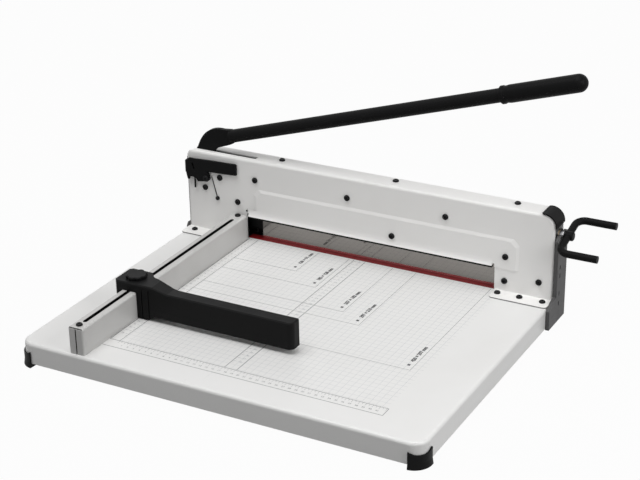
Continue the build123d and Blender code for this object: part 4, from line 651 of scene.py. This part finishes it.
def drawFlap(work):
    # rubber flap that hangs in the outlet, a dark sheet put there so the mouth stays as dark as its
    # shade
    sides = [[work.verts.new(atTable(x, y, z)) for x, z in flapOutline(low)]
             for y, low in zip((flap["near"], flap["far"]), flap["low"])]
    for side in sides:
        work.faces.new(side)
    for first in range(len(sides[0])):
        second = (first + 1) % len(sides[0])
        work.faces.new((sides[0][first], sides[0][second], sides[1][second], sides[1][first]))
    bmesh.ops.recalc_face_normals(work, faces=work.faces)


newPiece("outlet_shade_flap", meshFrom(drawFlap, "outlet_shade_flap"), "machine", "blackRubber")
print("outlet flap hung")

prints = {"printed_sheet_lines": (drawSheets, "printInk"),
          "printed_rulers": (drawRulers, "printInk"), "printed_sizes": (drawLabels, "labelInk"),
          "printed_front_digits": (drawFrontDigits, "printInk"),
          "printed_side_digits": (drawSideDigits, "faintInk")}
for printName, (draw, ink) in prints.items():
    newPiece(printName, meshFrom(draw, printName), "machine", ink)
print("table print drawn")


stageFacts = {"size": 14.0, "floor": (0.25, 0.25, 0.25), "lift": 0.97, "grey": 0.12}


def seenDirectly(bench):
    # 1 where the eye or a reflection looks at it, 0 where it only lights the object
    path = bench.add("ShaderNodeLightPath")
    outputs = path.socket.node.outputs
    seen = Wire(bench, outputs["Is Camera Ray"])
    for name in ("Is Glossy Ray", "Is Transmission Ray"):
        seen = seen.sum("MAXIMUM", Wire(bench, outputs[name]))
    return seen


def makeFloor():
    bench = Bench("floorPaper")
    bench.done(Base_Color=stageFacts["floor"], Roughness=0.9)
    glow = bench.add("ShaderNodeEmission", None, {"Color": (1.0, 1.0, 1.0), "Strength": 1.0})
    share = seenDirectly(bench) * stageFacts["lift"]
    both = bench.add("ShaderNodeMixShader", None,
                     {0: share, 1: Wire(bench, bench.shader.outputs[0]), 2: glow})
    bench.feed(bench.tree.nodes["Material Output"].inputs["Surface"], both)

    def lay(work):
        half = stageFacts["size"] / 2
        work.faces.new([work.verts.new((x * half, y * half, 0.0))
                        for x, y in ((-1, -1), (1, -1), (1, 1), (-1, 1))])
    floor = bpy.data.objects.new("floor", meshFrom(lay, "floor"))
    floor.data.materials.append(bench.material)
    bpy.context.scene.collection.objects.link(floor)


class Sky(Bench):
    # the world's nodes, wired in the same way
    def __init__(self, world):
        world.use_nodes = True
        self.tree = world.node_tree


def makeWorld():
    world = bpy.data.worlds.new("softRoom")
    bpy.context.scene.world = world
    sky = Sky(world)
    grey = sky.add("ShaderNodeBackground", None,
                   {"Color": (1.0, 1.0, 1.0), "Strength": stageFacts["grey"]})
    white = sky.add("ShaderNodeBackground", None, {"Color": (1.0, 1.0, 1.0), "Strength": 1.0})
    both = sky.add("ShaderNodeMixShader", None, {0: seenDirectly(sky), 1: grey, 2: white})
    sky.feed(sky.tree.nodes["World Output"].inputs["Surface"], both)


lamps = {"overhead": {"place": (-0.35, -0.50, 2.6), "aim": (0.0, -0.1, 0.05), "size": 2.0,
                      "power": 51.0},
         "front": {"place": (1.0, -2.6, 1.5), "aim": (0.0, 0.05, 0.1), "size": 1.8, "power": 2.5},
         "right": {"place": (1.6, -0.25, 1.0), "aim": (0.1, 0.0, 0.0), "size": 1.0, "power": 13.5}}


def makeLamps():
    for name, facts in lamps.items():
        data = bpy.data.lights.new(name, "AREA")
        data.shape, data.size, data.energy = "SQUARE", facts["size"], facts["power"]
        lamp = bpy.data.objects.new(name, data)
        lamp.location = facts["place"]
        ahead = Vector(facts["aim"]) - lamp.location
        lamp.rotation_euler = ahead.to_track_quat("-Z", "Y").to_euler()
        bpy.context.scene.collection.objects.link(lamp)


makeFloor()
makeWorld()
makeLamps()
bpy.context.scene.view_settings.view_transform = "Standard"
print("floor and light set")
